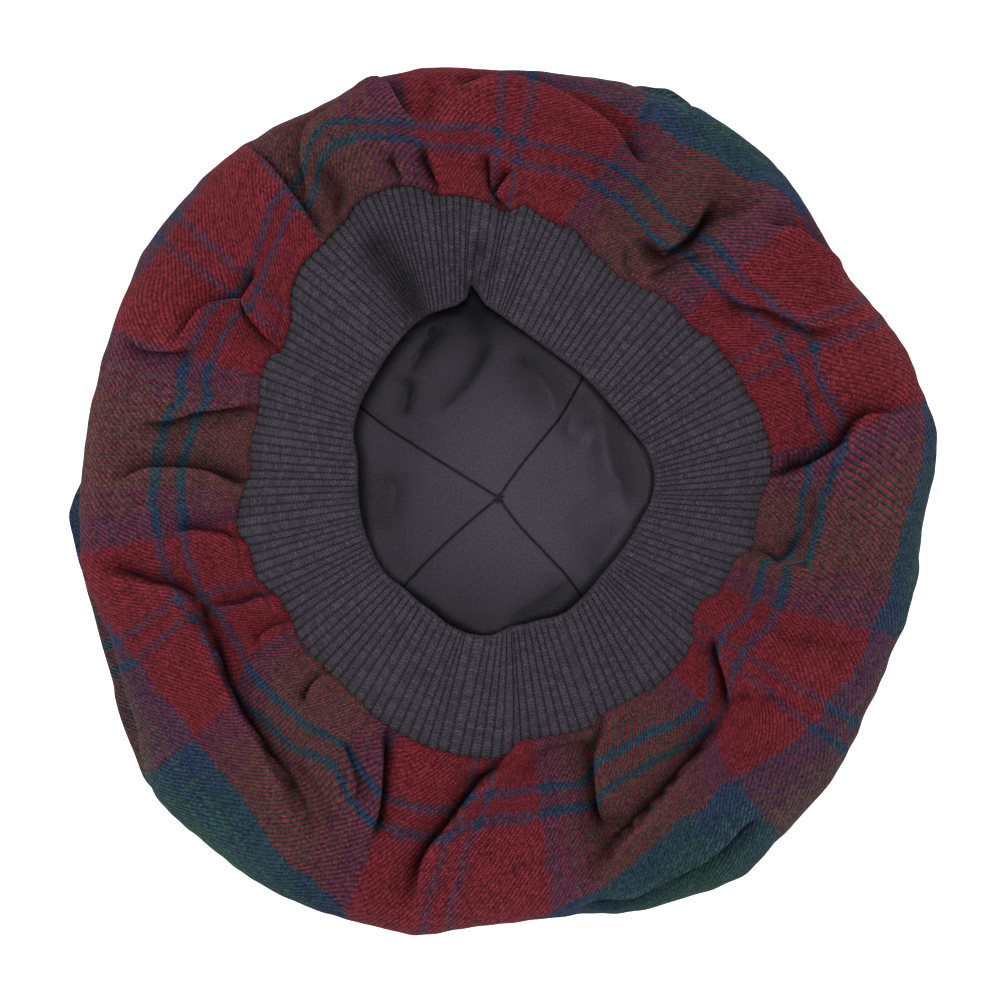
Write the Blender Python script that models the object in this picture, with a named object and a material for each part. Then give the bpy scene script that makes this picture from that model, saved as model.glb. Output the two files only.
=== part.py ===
"""Tam o' shanter, lying upside-down on its crown with the head opening up.

Six tartan gores make the hollow crown.  A doubled, ribbed knit band is sewn to
their gathered edges, and a bag of four lining panels lies inside, tacked at its
centre.  Metres, +Z up, origin at the centre of the crown's resting face.
"""
import math

import bmesh
import bpy
import numpy as np

MM = 0.001

# ---- driving sizes -------------------------------------------------------------
CLOTH = 1.5 * MM                # tartan wool
LINING_CLOTH = 1.0 * MM         # plain lining
BAND_THICK = 3.6 * MM           # two layers of rib knit
GAP = 0.32 * MM                 # clearance between pieces that touch
RIB_COUNT = 176
RIB_DEPTH = 0.55 * MM
TACK_RADIUS = 1.7 * MM          # thread tack where the lining panels meet
TIP_RADIUS = 1.2 * MM           # how near the centre the gores and panels reach

CROWN_STEP = 4.1                # degrees between a gore's columns
LINING_STEP = 7.2
FINE_STEP = 0.5                 # degrees between the columns that shapes are read on
BAND_UNDER_STEP = 4             # rib edges for each column of the band's plain face

GORE_SEAMS = (11.5, 71.0, 125.0, 186.0, 247.0, 310.0)
LINING_SEAMS = (57.0, 146.0, 223.0, 310.0)
LINING_CENTRE = (-1.2 * MM, 1.0 * MM)

# ---- sections round the hat ----------------------------------------------------
# One row each 10 degrees, counter-clockwise from +X, in millimetres.
# rim: widest radius.  lobe: how far the lower crown shows outside the upper fold.
# rim_z: height of the widest part.  puff: top of the cloth between rim and band.
# seam, seam_z: where the band is sewn on.  mouth, mouth_z: the band's folded edge.
SECTION_COLUMNS = ("rim", "lobe", "rim_z", "puff", "seam", "seam_z", "mouth", "mouth_z")
SECTIONS = (
    (138.8, 0.0, 21.0, 47.5, 83.8, 47.0, 47.5, 65.0),
    (143.1, 0.0, 22.0, 47.5, 87.4, 47.5, 49.6, 65.5),
    (140.1, 0.0, 22.0, 48.5, 88.5, 48.0, 49.1, 66.5),
    (135.7, 0.0, 21.0, 49.5, 87.3, 48.5, 47.4, 67.5),
    (135.2, 0.0, 20.0, 49.0, 85.2, 48.5, 46.8, 68.0),
    (140.8, 0.0, 20.0, 47.0, 83.9, 48.0, 47.0, 68.0),
    (142.6, 0.0, 21.0, 45.5, 81.9, 47.0, 48.6, 67.0),
    (144.2, 0.0, 20.0, 47.5, 86.7, 47.0, 50.3, 66.0),
    (141.1, 0.0, 19.0, 48.5, 92.8, 47.5, 53.9, 64.0),
    (140.7, 0.0, 20.0, 48.5, 93.7, 48.0, 59.6, 61.0),
    (142.6, 0.0, 22.0, 49.5, 100.4, 48.5, 70.1, 58.0),
    (143.0, 0.0, 23.0, 50.5, 107.9, 48.5, 64.9, 59.0),
    (141.5, 0.0, 22.0, 49.5, 103.6, 48.0, 62.4, 61.0),
    (144.1, 0.0, 20.0, 48.5, 98.4, 48.0, 59.3, 63.5),
    (143.6, 0.0, 19.0, 48.5, 90.9, 48.0, 56.6, 65.0),
    (141.2, 0.0, 19.0, 49.0, 88.2, 48.0, 54.6, 66.0),
    (138.6, 0.6, 19.0, 48.5, 84.5, 47.5, 50.7, 66.5),
    (138.2, 1.6, 20.0, 47.5, 82.6, 47.0, 47.6, 66.5),
    (139.7, 3.0, 21.0, 47.0, 84.4, 46.5, 46.5, 66.0),
    (139.3, 3.6, 22.0, 46.0, 83.9, 46.0, 45.6, 65.5),
    (138.9, 4.0, 22.0, 45.0, 80.4, 46.0, 45.0, 65.0),
    (143.8, 4.2, 21.0, 46.5, 78.3, 46.5, 44.6, 65.0),
    (148.9, 4.0, 19.0, 48.5, 79.3, 47.0, 42.8, 65.0),
    (147.8, 3.6, 19.0, 49.0, 78.5, 47.0, 42.1, 65.0),
    (147.3, 3.0, 20.0, 48.5, 80.0, 47.0, 42.6, 64.5),
    (145.3, 1.4, 22.0, 48.5, 81.7, 47.0, 43.8, 64.0),
    (143.3, 0.0, 22.0, 48.0, 83.4, 47.0, 43.9, 63.5),
    (138.6, 0.0, 21.0, 46.5, 83.2, 46.5, 41.7, 63.0),
    (137.3, 0.0, 21.0, 47.5, 77.9, 47.0, 40.2, 63.0),
    (141.0, 0.0, 21.0, 49.0, 78.1, 47.5, 40.4, 63.5),
    (144.3, 0.0, 20.0, 49.5, 74.8, 48.0, 41.1, 64.5),
    (140.5, 0.0, 21.0, 49.0, 74.8, 48.0, 40.4, 65.5),
    (140.3, 0.0, 22.0, 48.5, 75.4, 47.5, 39.8, 66.0),
    (137.1, 0.0, 22.0, 49.5, 71.6, 48.0, 40.5, 66.5),
    (136.0, 0.0, 21.0, 49.5, 75.1, 48.0, 42.2, 66.0),
    (137.9, 0.0, 20.0, 48.5, 81.8, 47.5, 44.4, 65.5),
)
SECTION_ANGLE = 10.0

# ---- folds in the crown's underside --------------------------------------------
# A fold runs through three plan points.  Millimetres; a negative depth is a ridge.
FOLD_COLUMNS = ("name", "x0", "y0", "x1", "y1", "x2", "y2", "depth", "width")
FOLDS = (
    ("puff_crease", -21, 101, -22, 117, -35, 134, 5.0, 6.5),
    ("puff_ridge", -62, 115, -52, 128, -40, 136, -3.0, 6.0),
    ("top_ridge", -22, 128, 0, 134, 36, 117, -3.0, 7.0),
    ("deep_top_right", 40, 74, 50, 88, 81, 98, 7.5, 8.5),
    ("upper_right", 65, 58, 88, 62, 106, 54, 4.0, 6.0),
    ("deep_right", 86, 2, 106, 14, 127, 31, 7.5, 8.0),
    ("gore_right_low", 61, -38, 73, -58, 76, -70, 5.5, 8.0),
    ("long_lower_right", 75, -66, 57, -95, 31, -121, 7.5, 8.5),
    ("rim_groove", 74, -110, 61, -122, 42, -130, 4.0, 5.5),
    ("bottom_diagonal", 1, -80, -12, -106, -30, -126, 7.5, 8.5),
    ("bottom_seam", -37, -77, -38, -91, -41, -103, 4.5, 5.5),
    ("lower_left_hollow", -97, -34, -90, -62, -68, -102, 8.5, 9.0),
    ("left_low", -84, -12, -94, -9, -103, -8, 5.0, 6.0),
    ("left_middle", -84, 8, -101, 11, -122, 10, 3.5, 6.0),
    ("left_high", -87, 30, -101, 30, -117, 26, 3.5, 6.0),
    ("upper_left", -72, 52, -91, 66, -117, 50, 5.0, 7.0),
)
FOLD_FADE_LOW = 13.0 * MM       # below this height a fold has died out
FOLD_FADE_HIGH = 32.0 * MM      # above this height it has its full depth

# Gathers where the crown's cloth is eased into the band: waves round the seam.
GATHER_COLUMNS = ("waves", "phase", "height")
GATHERS = ((17, 20.0, 0.9), (26, 75.0, 0.8))
GATHER_SHARES = (0.45, 1.0, 0.8)    # their strength on the three rows up to the band
TUCK_FOLD_SHARE = 0.45              # a fold's strength on the last of those rows

# Dents in the band: centre angle, half-width in degrees, drop at seam and mouth.
DENT_COLUMNS = ("angle", "width", "seam_drop", "mouth_drop")
DENTS = (
    (114.0, 6.0, 1.5, 7.0),
    (98.0, 4.0, 0.0, 5.0),
    (10.0, 4.0, 0.0, 1.6),
    (266.0, 6.0, 0.0, 1.5),
)
BAND_CROWN = 2.2 * MM           # how far the band bulges between its edges

# ---- profiles ------------------------------------------------------------------
# The crown's outer face from its centre to the band, as rows of
# (share of the way from the axis to the rim, share of rim height) for the lower
# half, (share of the way from rim to seam, share of the way from rim to puff) for
# the upper half, then points beside the band's sewn end in millimetres:
# (along the band from its end, off its middle plane).
CROWN_LOW = ((0.42, 0.0), (0.80, 0.0), (0.935, 0.11))
CROWN_HIGH = ((0.06, 0.31), (0.24, 0.62), (0.49, 0.87), (0.78, 1.0))
CROWN_TUCK = ((-3.6, 0.9), (-0.9, -0.4), (-0.3, -2.4), (4.0, -2.3))
LOBE_SHARE = 0.40               # height of the lower lobe, as a share of rim_z
LOBE_CREASE = 0.66              # height of the crease above it
LOBE_CREASE_IN = 1.0 * MM       # how far the crease cuts in where there is no lobe

# The lining's outer face: (share of rim radius, height in millimetres), then
# points under the band as for the crown.
LINING_LOW = ((0.40, 1.9), (0.70, 1.9), (0.82, 6.0), (0.87, 15.0), (0.80, 27.0))
LINING_TUCK = ((-5.0, -12.0), (3.0, -4.7))


SECTION = {name: np.array(column) * MM
           for name, column in zip(SECTION_COLUMNS, zip(*SECTIONS))}


def section(name, angles):
    """A section column at any angles, by a periodic Catmull-Rom curve."""
    column = SECTION[name]
    place = np.asarray(angles, float) / SECTION_ANGLE
    whole = np.floor(place).astype(int)
    t = place - whole
    a, b, c, d = (column[(whole + k) % len(column)] for k in (-1, 0, 1, 2))
    return 0.5 * (2 * b + (c - a) * t + (2 * a - 5 * b + 4 * c - d) * t ** 2
                  + (3 * b - a - 3 * c + d) * t ** 3)


def smooth_step(value, low, high):
    """0 below low, 1 above high, and a smooth rise between."""
    t = np.clip((value - low) / (high - low), 0.0, 1.0)
    return t * t * (3.0 - 2.0 * t)


def turn_difference(angles, centre):
    """Signed difference in degrees, from -180 to 180."""
    return (np.asarray(angles, float) - centre + 180.0) % 360.0 - 180.0


def polar(radius, angles, height):
    """World points from cylindrical ones."""
    turn = np.radians(angles)
    return np.stack([radius * np.cos(turn), radius * np.sin(turn),
                     np.broadcast_to(height, np.shape(radius))], axis=-1)


# ---- the band's own frame at its sewn end --------------------------------------
def band_frame(angles):
    """Seam radius and height, and the unit vectors along and off the band."""
    seam = section("seam", angles)
    seam_z = section("seam_z", angles)
    inward = section("mouth", angles) - seam
    upward = section("mouth_z", angles) - seam_z
    length = np.hypot(inward, upward)
    along = (inward / length, upward / length)
    off = (along[1], -along[0])
    return seam, seam_z, along, off, length


def beside_band(angles, points):
    """(radius, height) rows for points given along and off the band, in mm."""
    seam, seam_z, along, off, _ = band_frame(angles)
    rows = []
    for u, v in points:
        rows.append((seam + (along[0] * u + off[0] * v) * MM,
                     seam_z + (along[1] * u + off[1] * v) * MM))
    return rows


# ---- folds ---------------------------------------------------------------------
def fold_distance(x, y, row):
    """Distance to a fold's curve, and the share of the way along it."""
    steps = np.linspace(0.0, 1.0, 13)
    curve = []
    for axis in ("x", "y"):
        a, b, c = (row[axis + str(k)] for k in range(3))
        middle = 2.0 * b - 0.5 * (a + c)
        curve.append((1 - steps) ** 2 * a + 2 * steps * (1 - steps) * middle
                     + steps ** 2 * c)
    points = np.stack(curve, axis=-1) * MM
    best = np.full(np.shape(x), 1.0)
    share = np.zeros(np.shape(x))
    for k in range(len(points) - 1):
        edge = points[k + 1] - points[k]
        t = ((x - points[k][0]) * edge[0] + (y - points[k][1]) * edge[1]) / (edge @ edge)
        t = np.clip(t, 0.0, 1.0)
        gap = np.hypot(x - points[k][0] - t * edge[0], y - points[k][1] - t * edge[1])
        nearer = gap < best
        best = np.where(nearer, gap, best)
        share = np.where(nearer, (k + t) / (len(points) - 1), share)
    return best, share


def fold_depth(x, y):
    """How far the cloth is pushed in at plan points."""
    depth = np.zeros(np.shape(x))
    for values in FOLDS:
        row = dict(zip(FOLD_COLUMNS, values))
        gap, share = fold_distance(x, y, row)
        q = gap / (row["width"] * MM)
        shape = np.exp(-q ** 2) - 0.3 * np.exp(-((q - 1.7) / 0.7) ** 2)
        ends = smooth_step(share, -0.15, 0.3) * smooth_step(1.0 - share, -0.15, 0.3)
        depth += row["depth"] * MM * shape * ends
    return depth


def gather_height(angles):
    """Waves of the gathered cloth."""
    height = np.zeros(np.shape(angles))
    for values in GATHERS:
        row = dict(zip(GATHER_COLUMNS, values))
        wave = np.sin(np.radians(row["waves"] * np.asarray(angles) + row["phase"]))
        height += row["height"] * MM * wave
    return height


# ---- surfaces ------------------------------------------------------------------
def crown_rows(angles):
    """(radius, height) rows of the crown's outer face, from axis to band."""
    rim = section("rim", angles)
    lobe = section("lobe", angles)
    rim_z = section("rim_z", angles)
    puff = section("puff", angles)
    seam = section("seam", angles)
    upper = rim - lobe
    rows = [(np.full(np.shape(rim), TIP_RADIUS), np.zeros(np.shape(rim)))]
    rows += [(rim * share, rim_z * rise) for share, rise in CROWN_LOW]
    # a little inside the rim, except where the lower lobe shows
    low_radius = rim - smooth_step(1.5 * MM - lobe, 0.0, 1.5 * MM) * 1.2 * MM
    crease_in = lobe * 1.25 + LOBE_CREASE_IN
    rows.append((low_radius, rim_z * LOBE_SHARE))
    rows.append((rim - crease_in, rim_z * LOBE_CREASE))
    rows.append((upper, rim_z))
    for share, rise in CROWN_HIGH:
        rows.append((upper + (seam - upper) * share, rim_z + (puff - rim_z) * rise))
    return rows + beside_band(angles, CROWN_TUCK)


def crown_surface(angles):
    """Crown points, rows by columns, with its folds and gathers."""
    rows = crown_rows(angles)
    points = np.stack([polar(radius, angles, height) for radius, height in rows])
    normals = surface_normals(points)
    tuck = len(CROWN_TUCK)
    above_crease = 1 + len(CROWN_LOW) + 2
    weight = smooth_step(points[..., 2], FOLD_FADE_LOW, FOLD_FADE_HIGH)
    weight[:above_crease] = 0.0
    weight[-tuck] *= TUCK_FOLD_SHARE
    weight[-tuck + 1:] = 0.0
    push = fold_depth(points[..., 0], points[..., 1]) * weight
    ease = np.zeros(len(rows))
    ease[-tuck - 2:-tuck + 1] = GATHER_SHARES
    push -= gather_height(angles)[None, :] * ease[:, None]
    return points - normals * push[..., None]


def lining_surface(angles):
    """Lining points, rows by columns, on the face towards the crown."""
    rim = section("rim", angles)
    rows = [(np.full(np.shape(rim), TIP_RADIUS), LINING_LOW[0][1] * MM)]
    rows += [(rim * share, height * MM) for share, height in LINING_LOW]
    rows += beside_band(angles, LINING_TUCK)
    layers = []
    for radius, height in rows:
        points = polar(radius, angles, height)
        shift = 1.0 - smooth_step(radius, 30 * MM, 90 * MM)
        points[..., 0] += LINING_CENTRE[0] * shift
        points[..., 1] += LINING_CENTRE[1] * shift
        layers.append(points)
    return np.stack(layers)


def surface_normals(points):
    """Unit normals of a grid of points, on the side away from the hollow."""
    down = np.gradient(points, axis=0)
    across = np.roll(points, -1, axis=1) - np.roll(points, 1, axis=1)
    normal = np.cross(across, down)
    normal /= np.linalg.norm(normal, axis=-1, keepdims=True) + 1e-15
    return normal


# ---- making the meshes ---------------------------------------------------------
def new_object(name, verts, faces, material):
    """A named object from plain lists, with its faces turned outwards."""
    mesh = bpy.data.meshes.new(name)
    mesh.from_pydata([tuple(v) for v in verts], [], faces)
    bm = bmesh.new()
    bm.from_mesh(mesh)
    bmesh.ops.recalc_face_normals(bm, faces=bm.faces)
    bm.to_mesh(mesh)
    bm.free()
    mesh.shade_smooth()
    mesh.set_sharp_from_angle(angle=math.radians(40))
    mesh.materials.append(material)
    obj = bpy.data.objects.new(name, mesh)
    bpy.context.scene.collection.objects.link(obj)
    return obj


def new_material(name, colour, roughness):
    """A Principled cloth material."""
    material = bpy.data.materials.new(name)
    material.use_nodes = True
    shader = material.node_tree.nodes["Principled BSDF"]
    shader.inputs["Base Color"].default_value = (*colour, 1.0)
    shader.inputs["Roughness"].default_value = roughness
    shader.inputs["Metallic"].default_value = 0.0
    return material


def sheet_faces(rows, columns):
    """Faces of a closed wall made of two grids of points, outer then inner."""
    layer = rows * columns
    faces = []
    for i in range(rows - 1):
        for j in range(columns - 1):
            a = i * columns + j
            quad = (a, a + 1, a + columns + 1, a + columns)
            faces.append(quad)
            faces.append(tuple(layer + k for k in reversed(quad)))
    border = [j for j in range(columns)]
    border += [i * columns + columns - 1 for i in range(1, rows)]
    border += [(rows - 1) * columns + j for j in range(columns - 2, -1, -1)]
    border += [i * columns for i in range(rows - 2, 0, -1)]
    for k, a in enumerate(border):
        b = border[(k + 1) % len(border)]
        faces.append((b, a, layer + a, layer + b))
    return faces


def wedge_angles(seams, step):
    """Column angles of every panel between its seams, and each panel's slice."""
    angles = []
    slices = []
    for k, start in enumerate(seams):
        stop = seams[(k + 1) % len(seams)]
        stop += 360.0 if stop <= start else 0.0
        count = max(4, round((stop - start) / step)) + 1
        slices.append(slice(len(angles), len(angles) + count))
        angles += list(np.linspace(start, stop, count))
    return np.array(angles), slices


def panel_walls(name, seams, step, surface, thickness, material):
    """Panels of a shell, cut apart at its seams with a gap between them."""
    even = np.arange(0.0, 360.0, FINE_STEP)
    points = surface(even)
    angles, slices = wedge_angles(seams, step)
    places = np.rint(angles / FINE_STEP).astype(int) % len(even)
    outer = points[:, places]
    normals = surface_normals(points)[:, places]
    turn = np.radians(even[places])
    across = np.stack([-np.sin(turn), np.cos(turn), np.zeros(len(turn))], axis=-1)
    # side faces stand in the seam's own upright plane
    edges = [k for part in slices for k in (part.start, part.stop - 1)]
    lean = np.sum(normals[:, edges] * across[edges], axis=-1, keepdims=True)
    flat = normals[:, edges] - lean * across[edges]
    normals[:, edges] = flat / np.linalg.norm(flat, axis=-1, keepdims=True)
    inner = outer - thickness * normals
    for k, part in enumerate(slices):
        grids = []
        narrowing = np.linspace(0.5, -0.5, part.stop - part.start)[:, None]
        for grid in (outer, inner):
            grids.append(grid[:, part] + across[part] * narrowing * GAP)
        rows, columns = grids[0].shape[:2]
        verts = np.concatenate([grid.reshape(-1, 3) for grid in grids])
        new_object(f"{name}_{k + 1}", verts, sheet_faces(rows, columns), material)


# ---- the ribbed band -----------------------------------------------------------
def rib_angles():
    """Angles of rib crests and grooves, evenly spaced along the band."""
    even = np.arange(0.0, 360.0 + FINE_STEP, FINE_STEP)
    radius = 0.5 * (section("seam", even) + section("mouth", even))
    points = polar(radius, even, 0.0)
    steps = np.linalg.norm(np.diff(points, axis=0), axis=1)
    run = np.concatenate([[0.0], np.cumsum(steps)])
    return np.interp(np.arange(2 * RIB_COUNT) / (2 * RIB_COUNT) * run[-1], run, even)


def band_point(angles, share, off_plane):
    """Points on the band: share of the way to the mouth, and off its middle."""
    seam, seam_z, along, off, length = band_frame(angles)
    bulge = BAND_CROWN * np.sin(math.pi * np.clip(share, 0.0, 1.0))
    radius = seam + along[0] * length * share + off[0] * (off_plane + bulge)
    height = seam_z + along[1] * length * share + off[1] * (off_plane + bulge)
    for values in DENTS:
        row = dict(zip(DENT_COLUMNS, values))
        drop = row["seam_drop"] + (row["mouth_drop"] - row["seam_drop"]) * share
        near = np.exp(-(turn_difference(angles, row["angle"]) / row["width"]) ** 2)
        height = height - max(share, 0.0) ** 0.7 * drop * MM * near
    return polar(radius, angles, height)


# The ribbed face and hem, then the plain face under it: share along the band,
# off-plane place as a share of half the thickness, and the ribs' share there.
BAND_FACE = ((0.004, 0.15, 0.0), (0.02, 1.0, 0.8), (0.34, 1.0, 1.0), (0.67, 1.0, 1.0),
             (0.955, 0.9, 1.0), (1.0, 0.0, 0.5))
BAND_BACK = ((0.955, -0.9, 0.0), (0.5, -1.0, 0.0), (0.03, -1.0, 0.0))


def band_rings():
    """Rings of points round the band's section, ribbed ones first."""
    ribbed = rib_angles()
    plain = ribbed[::BAND_UNDER_STEP]
    crest = np.where(np.arange(len(ribbed)) % 2 == 0, 0.5, -0.5)
    rings = []
    for share, off_plane, rib in BAND_FACE:
        lift = BAND_THICK * 0.5 * off_plane + crest * RIB_DEPTH * rib
        rings.append(band_point(ribbed, share, lift))
    for share, off_plane, _ in BAND_BACK:
        lift = np.full(len(plain), BAND_THICK * 0.5 * off_plane)
        rings.append(band_point(plain, share, lift))
    return rings


def bridge(first, first_count, second, second_count):
    """Faces between two closed rings, one of which may have more points."""
    faces = []
    if first_count == second_count:
        for k in range(first_count):
            n = (k + 1) % first_count
            faces.append((first + k, first + n, second + n, second + k))
        return faces
    swap = first_count < second_count
    many, few = (second, first) if swap else (first, second)
    many_count, few_count = max(first_count, second_count), min(first_count, second_count)
    ratio = many_count // few_count
    for k in range(few_count):
        n = (k + 1) % few_count
        base = k * ratio
        half = ratio // 2
        fan = [many + (base + i) % many_count for i in range(ratio + 1)]
        group = [(few + k, fan[i], fan[i + 1]) for i in range(half)]
        group.append((few + k, fan[half], few + n))
        group += [(few + n, fan[i], fan[i + 1]) for i in range(half, ratio)]
        faces += [face if not swap else tuple(reversed(face)) for face in group]
    return faces


def make_band(material):
    """The doubled rib-knit band: one solid with a rounded hem at the mouth."""
    rings = band_rings()
    verts = np.concatenate(rings)
    starts = np.cumsum([0] + [len(ring) for ring in rings])
    faces = []
    for k in range(len(rings)):
        n = (k + 1) % len(rings)
        faces += bridge(starts[k], len(rings[k]), starts[n], len(rings[n]))
    return new_object("rib_band", verts, faces, material)


def make_tack(material):
    """The thread tack that holds the lining panels together at their centre."""
    bm = bmesh.new()
    bmesh.ops.create_uvsphere(bm, u_segments=10, v_segments=6, radius=TACK_RADIUS)
    height = (LINING_LOW[0][1] * MM + LINING_CLOTH + GAP + TACK_RADIUS * 0.6)
    for vert in bm.verts:
        vert.co.z = vert.co.z * 0.6 + height
        vert.co.x += LINING_CENTRE[0]
        vert.co.y += LINING_CENTRE[1]
    mesh = bpy.data.meshes.new("lining_tack")
    bm.to_mesh(mesh)
    bm.free()
    mesh.materials.append(material)
    obj = bpy.data.objects.new("lining_tack", mesh)
    bpy.context.scene.collection.objects.link(obj)
    return obj


def centre_on_origin():
    """Put the middle of the whole hat's plan box over the origin."""
    objects = list(bpy.context.scene.collection.objects)
    points = np.concatenate([[v.co[:2] for v in obj.data.vertices] for obj in objects])
    shift = 0.5 * (points.min(axis=0) + points.max(axis=0))
    for obj in objects:
        for vert in obj.data.vertices:
            vert.co.x -= shift[0]
            vert.co.y -= shift[1]
    print("plan shift in mm:", np.round(shift / MM, 3))


def main():
    for obj in list(bpy.data.objects):
        bpy.data.objects.remove(obj, do_unlink=True)
    tartan = new_material("tartan_wool", (0.16, 0.025, 0.035), 0.9)
    lining = new_material("lining_cotton", (0.045, 0.043, 0.052), 0.85)
    knit = new_material("rib_knit", (0.04, 0.037, 0.045), 0.95)
    thread = new_material("tack_thread", (0.02, 0.02, 0.024), 0.8)
    panel_walls("crown_gore", GORE_SEAMS, CROWN_STEP, crown_surface, CLOTH, tartan)
    panel_walls("lining_panel", LINING_SEAMS, LINING_STEP, lining_surface,
                LINING_CLOTH, lining)
    make_band(knit)
    make_tack(thread)
    centre_on_origin()


main()
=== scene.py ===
import math

import bpy
import numpy as np
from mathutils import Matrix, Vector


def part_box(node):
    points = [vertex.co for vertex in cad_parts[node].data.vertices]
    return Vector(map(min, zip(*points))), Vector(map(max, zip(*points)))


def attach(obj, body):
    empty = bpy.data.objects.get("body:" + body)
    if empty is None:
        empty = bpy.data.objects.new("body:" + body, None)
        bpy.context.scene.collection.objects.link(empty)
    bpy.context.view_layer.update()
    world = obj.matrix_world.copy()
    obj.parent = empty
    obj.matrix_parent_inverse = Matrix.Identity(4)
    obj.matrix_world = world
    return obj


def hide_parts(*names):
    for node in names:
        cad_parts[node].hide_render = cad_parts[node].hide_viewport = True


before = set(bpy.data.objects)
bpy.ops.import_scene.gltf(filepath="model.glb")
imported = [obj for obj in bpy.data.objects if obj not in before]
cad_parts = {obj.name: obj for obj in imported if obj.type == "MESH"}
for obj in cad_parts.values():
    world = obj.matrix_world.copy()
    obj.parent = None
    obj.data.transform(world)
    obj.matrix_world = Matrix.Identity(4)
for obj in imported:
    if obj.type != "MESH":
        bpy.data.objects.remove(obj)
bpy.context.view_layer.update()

MM = 0.001

# ---- sizes shared with the CAD ---------------------------------------------------
PLAN_SHIFT = (0.849 * MM, 0.013 * MM)       # the CAD's own centring
CLOTH = 1.5 * MM
LINING_CLOTH = 1.0 * MM
BAND_THICK = 3.6 * MM
RIB_COUNT = 176
TACK_RADIUS = 1.7 * MM
CENTRE_HOLE = 0.15 * MM                     # where the tips of the panels meet
GORE_SEAMS = (11.5, 71.0, 125.0, 186.0, 247.0, 310.0)
GORES = [f"crown_gore_{k + 1}" for k in range(len(GORE_SEAMS))]
LINING_CENTRE = (-1.2 * MM, 1.0 * MM)

# Each 10 degrees: height of the widest part, top of the cloth between rim and band,
# height of the band's sewn edge, and height of its folded edge.  Millimetres.
HEIGHT_COLUMNS = ("rim_z", "puff", "seam_z", "mouth_z")
HEIGHTS = (
    (21, 47.5, 47, 65), (22, 47.5, 47.5, 65.5), (22, 48.5, 48, 66.5),
    (21, 49.5, 48.5, 67.5), (20, 49, 48.5, 68), (20, 47, 48, 68),
    (21, 45.5, 47, 67), (20, 47.5, 47, 66), (19, 48.5, 47.5, 64),
    (20, 48.5, 48, 61), (22, 49.5, 48.5, 58), (23, 50.5, 48.5, 59),
    (22, 49.5, 48, 61), (20, 48.5, 48, 63.5), (19, 48.5, 48, 65),
    (19, 49, 48, 66), (19, 48.5, 47.5, 66.5), (20, 47.5, 47, 66.5),
    (21, 47, 46.5, 66), (22, 46, 46, 65.5), (22, 45, 46, 65),
    (21, 46.5, 46.5, 65), (19, 48.5, 47, 65), (19, 49, 47, 65),
    (20, 48.5, 47, 64.5), (22, 48.5, 47, 64), (22, 48, 47, 63.5),
    (21, 46.5, 46.5, 63), (21, 47.5, 47, 63), (21, 49, 47.5, 63.5),
    (20, 49.5, 48, 64.5), (21, 49, 48, 65.5), (22, 48.5, 47.5, 66),
    (22, 49.5, 48, 66.5), (21, 49.5, 48, 66), (20, 48.5, 47.5, 65.5),
)

# ---- plan curves: (angle, radius in mm) ------------------------------------------
OUTLINE = (
    (0, 138.8), (5, 141.7), (10, 143), (15, 141.4), (20, 140.1), (25, 138.1),
    (30, 135.5), (33, 134.2), (37, 134.6), (40, 135.8), (45, 138.5), (50, 140.7),
    (55, 141.7), (60, 142.3), (65, 143.7), (68, 145), (70, 143.7), (75, 142),
    (80, 141.1), (85, 140.4), (90, 140.1), (93, 141.1), (96, 142.3), (100, 142.7),
    (104, 143.3), (107, 144), (110, 143), (115, 142), (120, 142.3), (124, 142.7),
    (126.5, 144), (130, 143.7), (135, 143.3), (140, 143), (145, 142.7), (148, 141.4),
    (150, 140.4), (155, 139.4), (160, 138.5), (165, 137.5), (170, 137.8),
    (175, 137.8), (178, 138.8), (180, 140.4), (182, 141.7), (185, 140.7),
    (190, 139.4), (195, 138.5), (200, 139.1), (205, 140.4), (207, 142), (210, 143.7),
    (214, 145.6), (220, 148.9), (230, 147.8), (240, 147.3), (250, 145.3),
    (258, 144.6), (260, 143), (265, 139.8), (270, 137.8), (275, 136.5), (280, 136.8),
    (285, 139.1), (290, 141.1), (295, 142.7), (300, 144), (303, 145), (305, 144),
    (310, 142), (315, 141.1), (320, 140.4), (325, 138.8), (330, 136.8), (335, 136.8),
    (340, 136.2), (345, 137.5), (350, 138.1), (356, 137.2),
)
# Where the lower crown shows outside the upper fold: its width in mm.
LOBE = (
    (0, 0), (58, 0), (63, 0.4), (68, 2.6), (70, 2.0), (74, 0.3), (78, 0), (172, 0),
    (175, 0.3), (178, 1.0), (182, 3.6), (185, 2.6), (190, 1.1), (195, 2.0),
    (200, 3.6), (205, 3.9), (210, 4.4), (214, 2.8), (218, 1.2), (222, 0), (342, 0),
    (346, 0.8), (350, 1.2), (354, 0.4), (357, 0),
)
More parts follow.
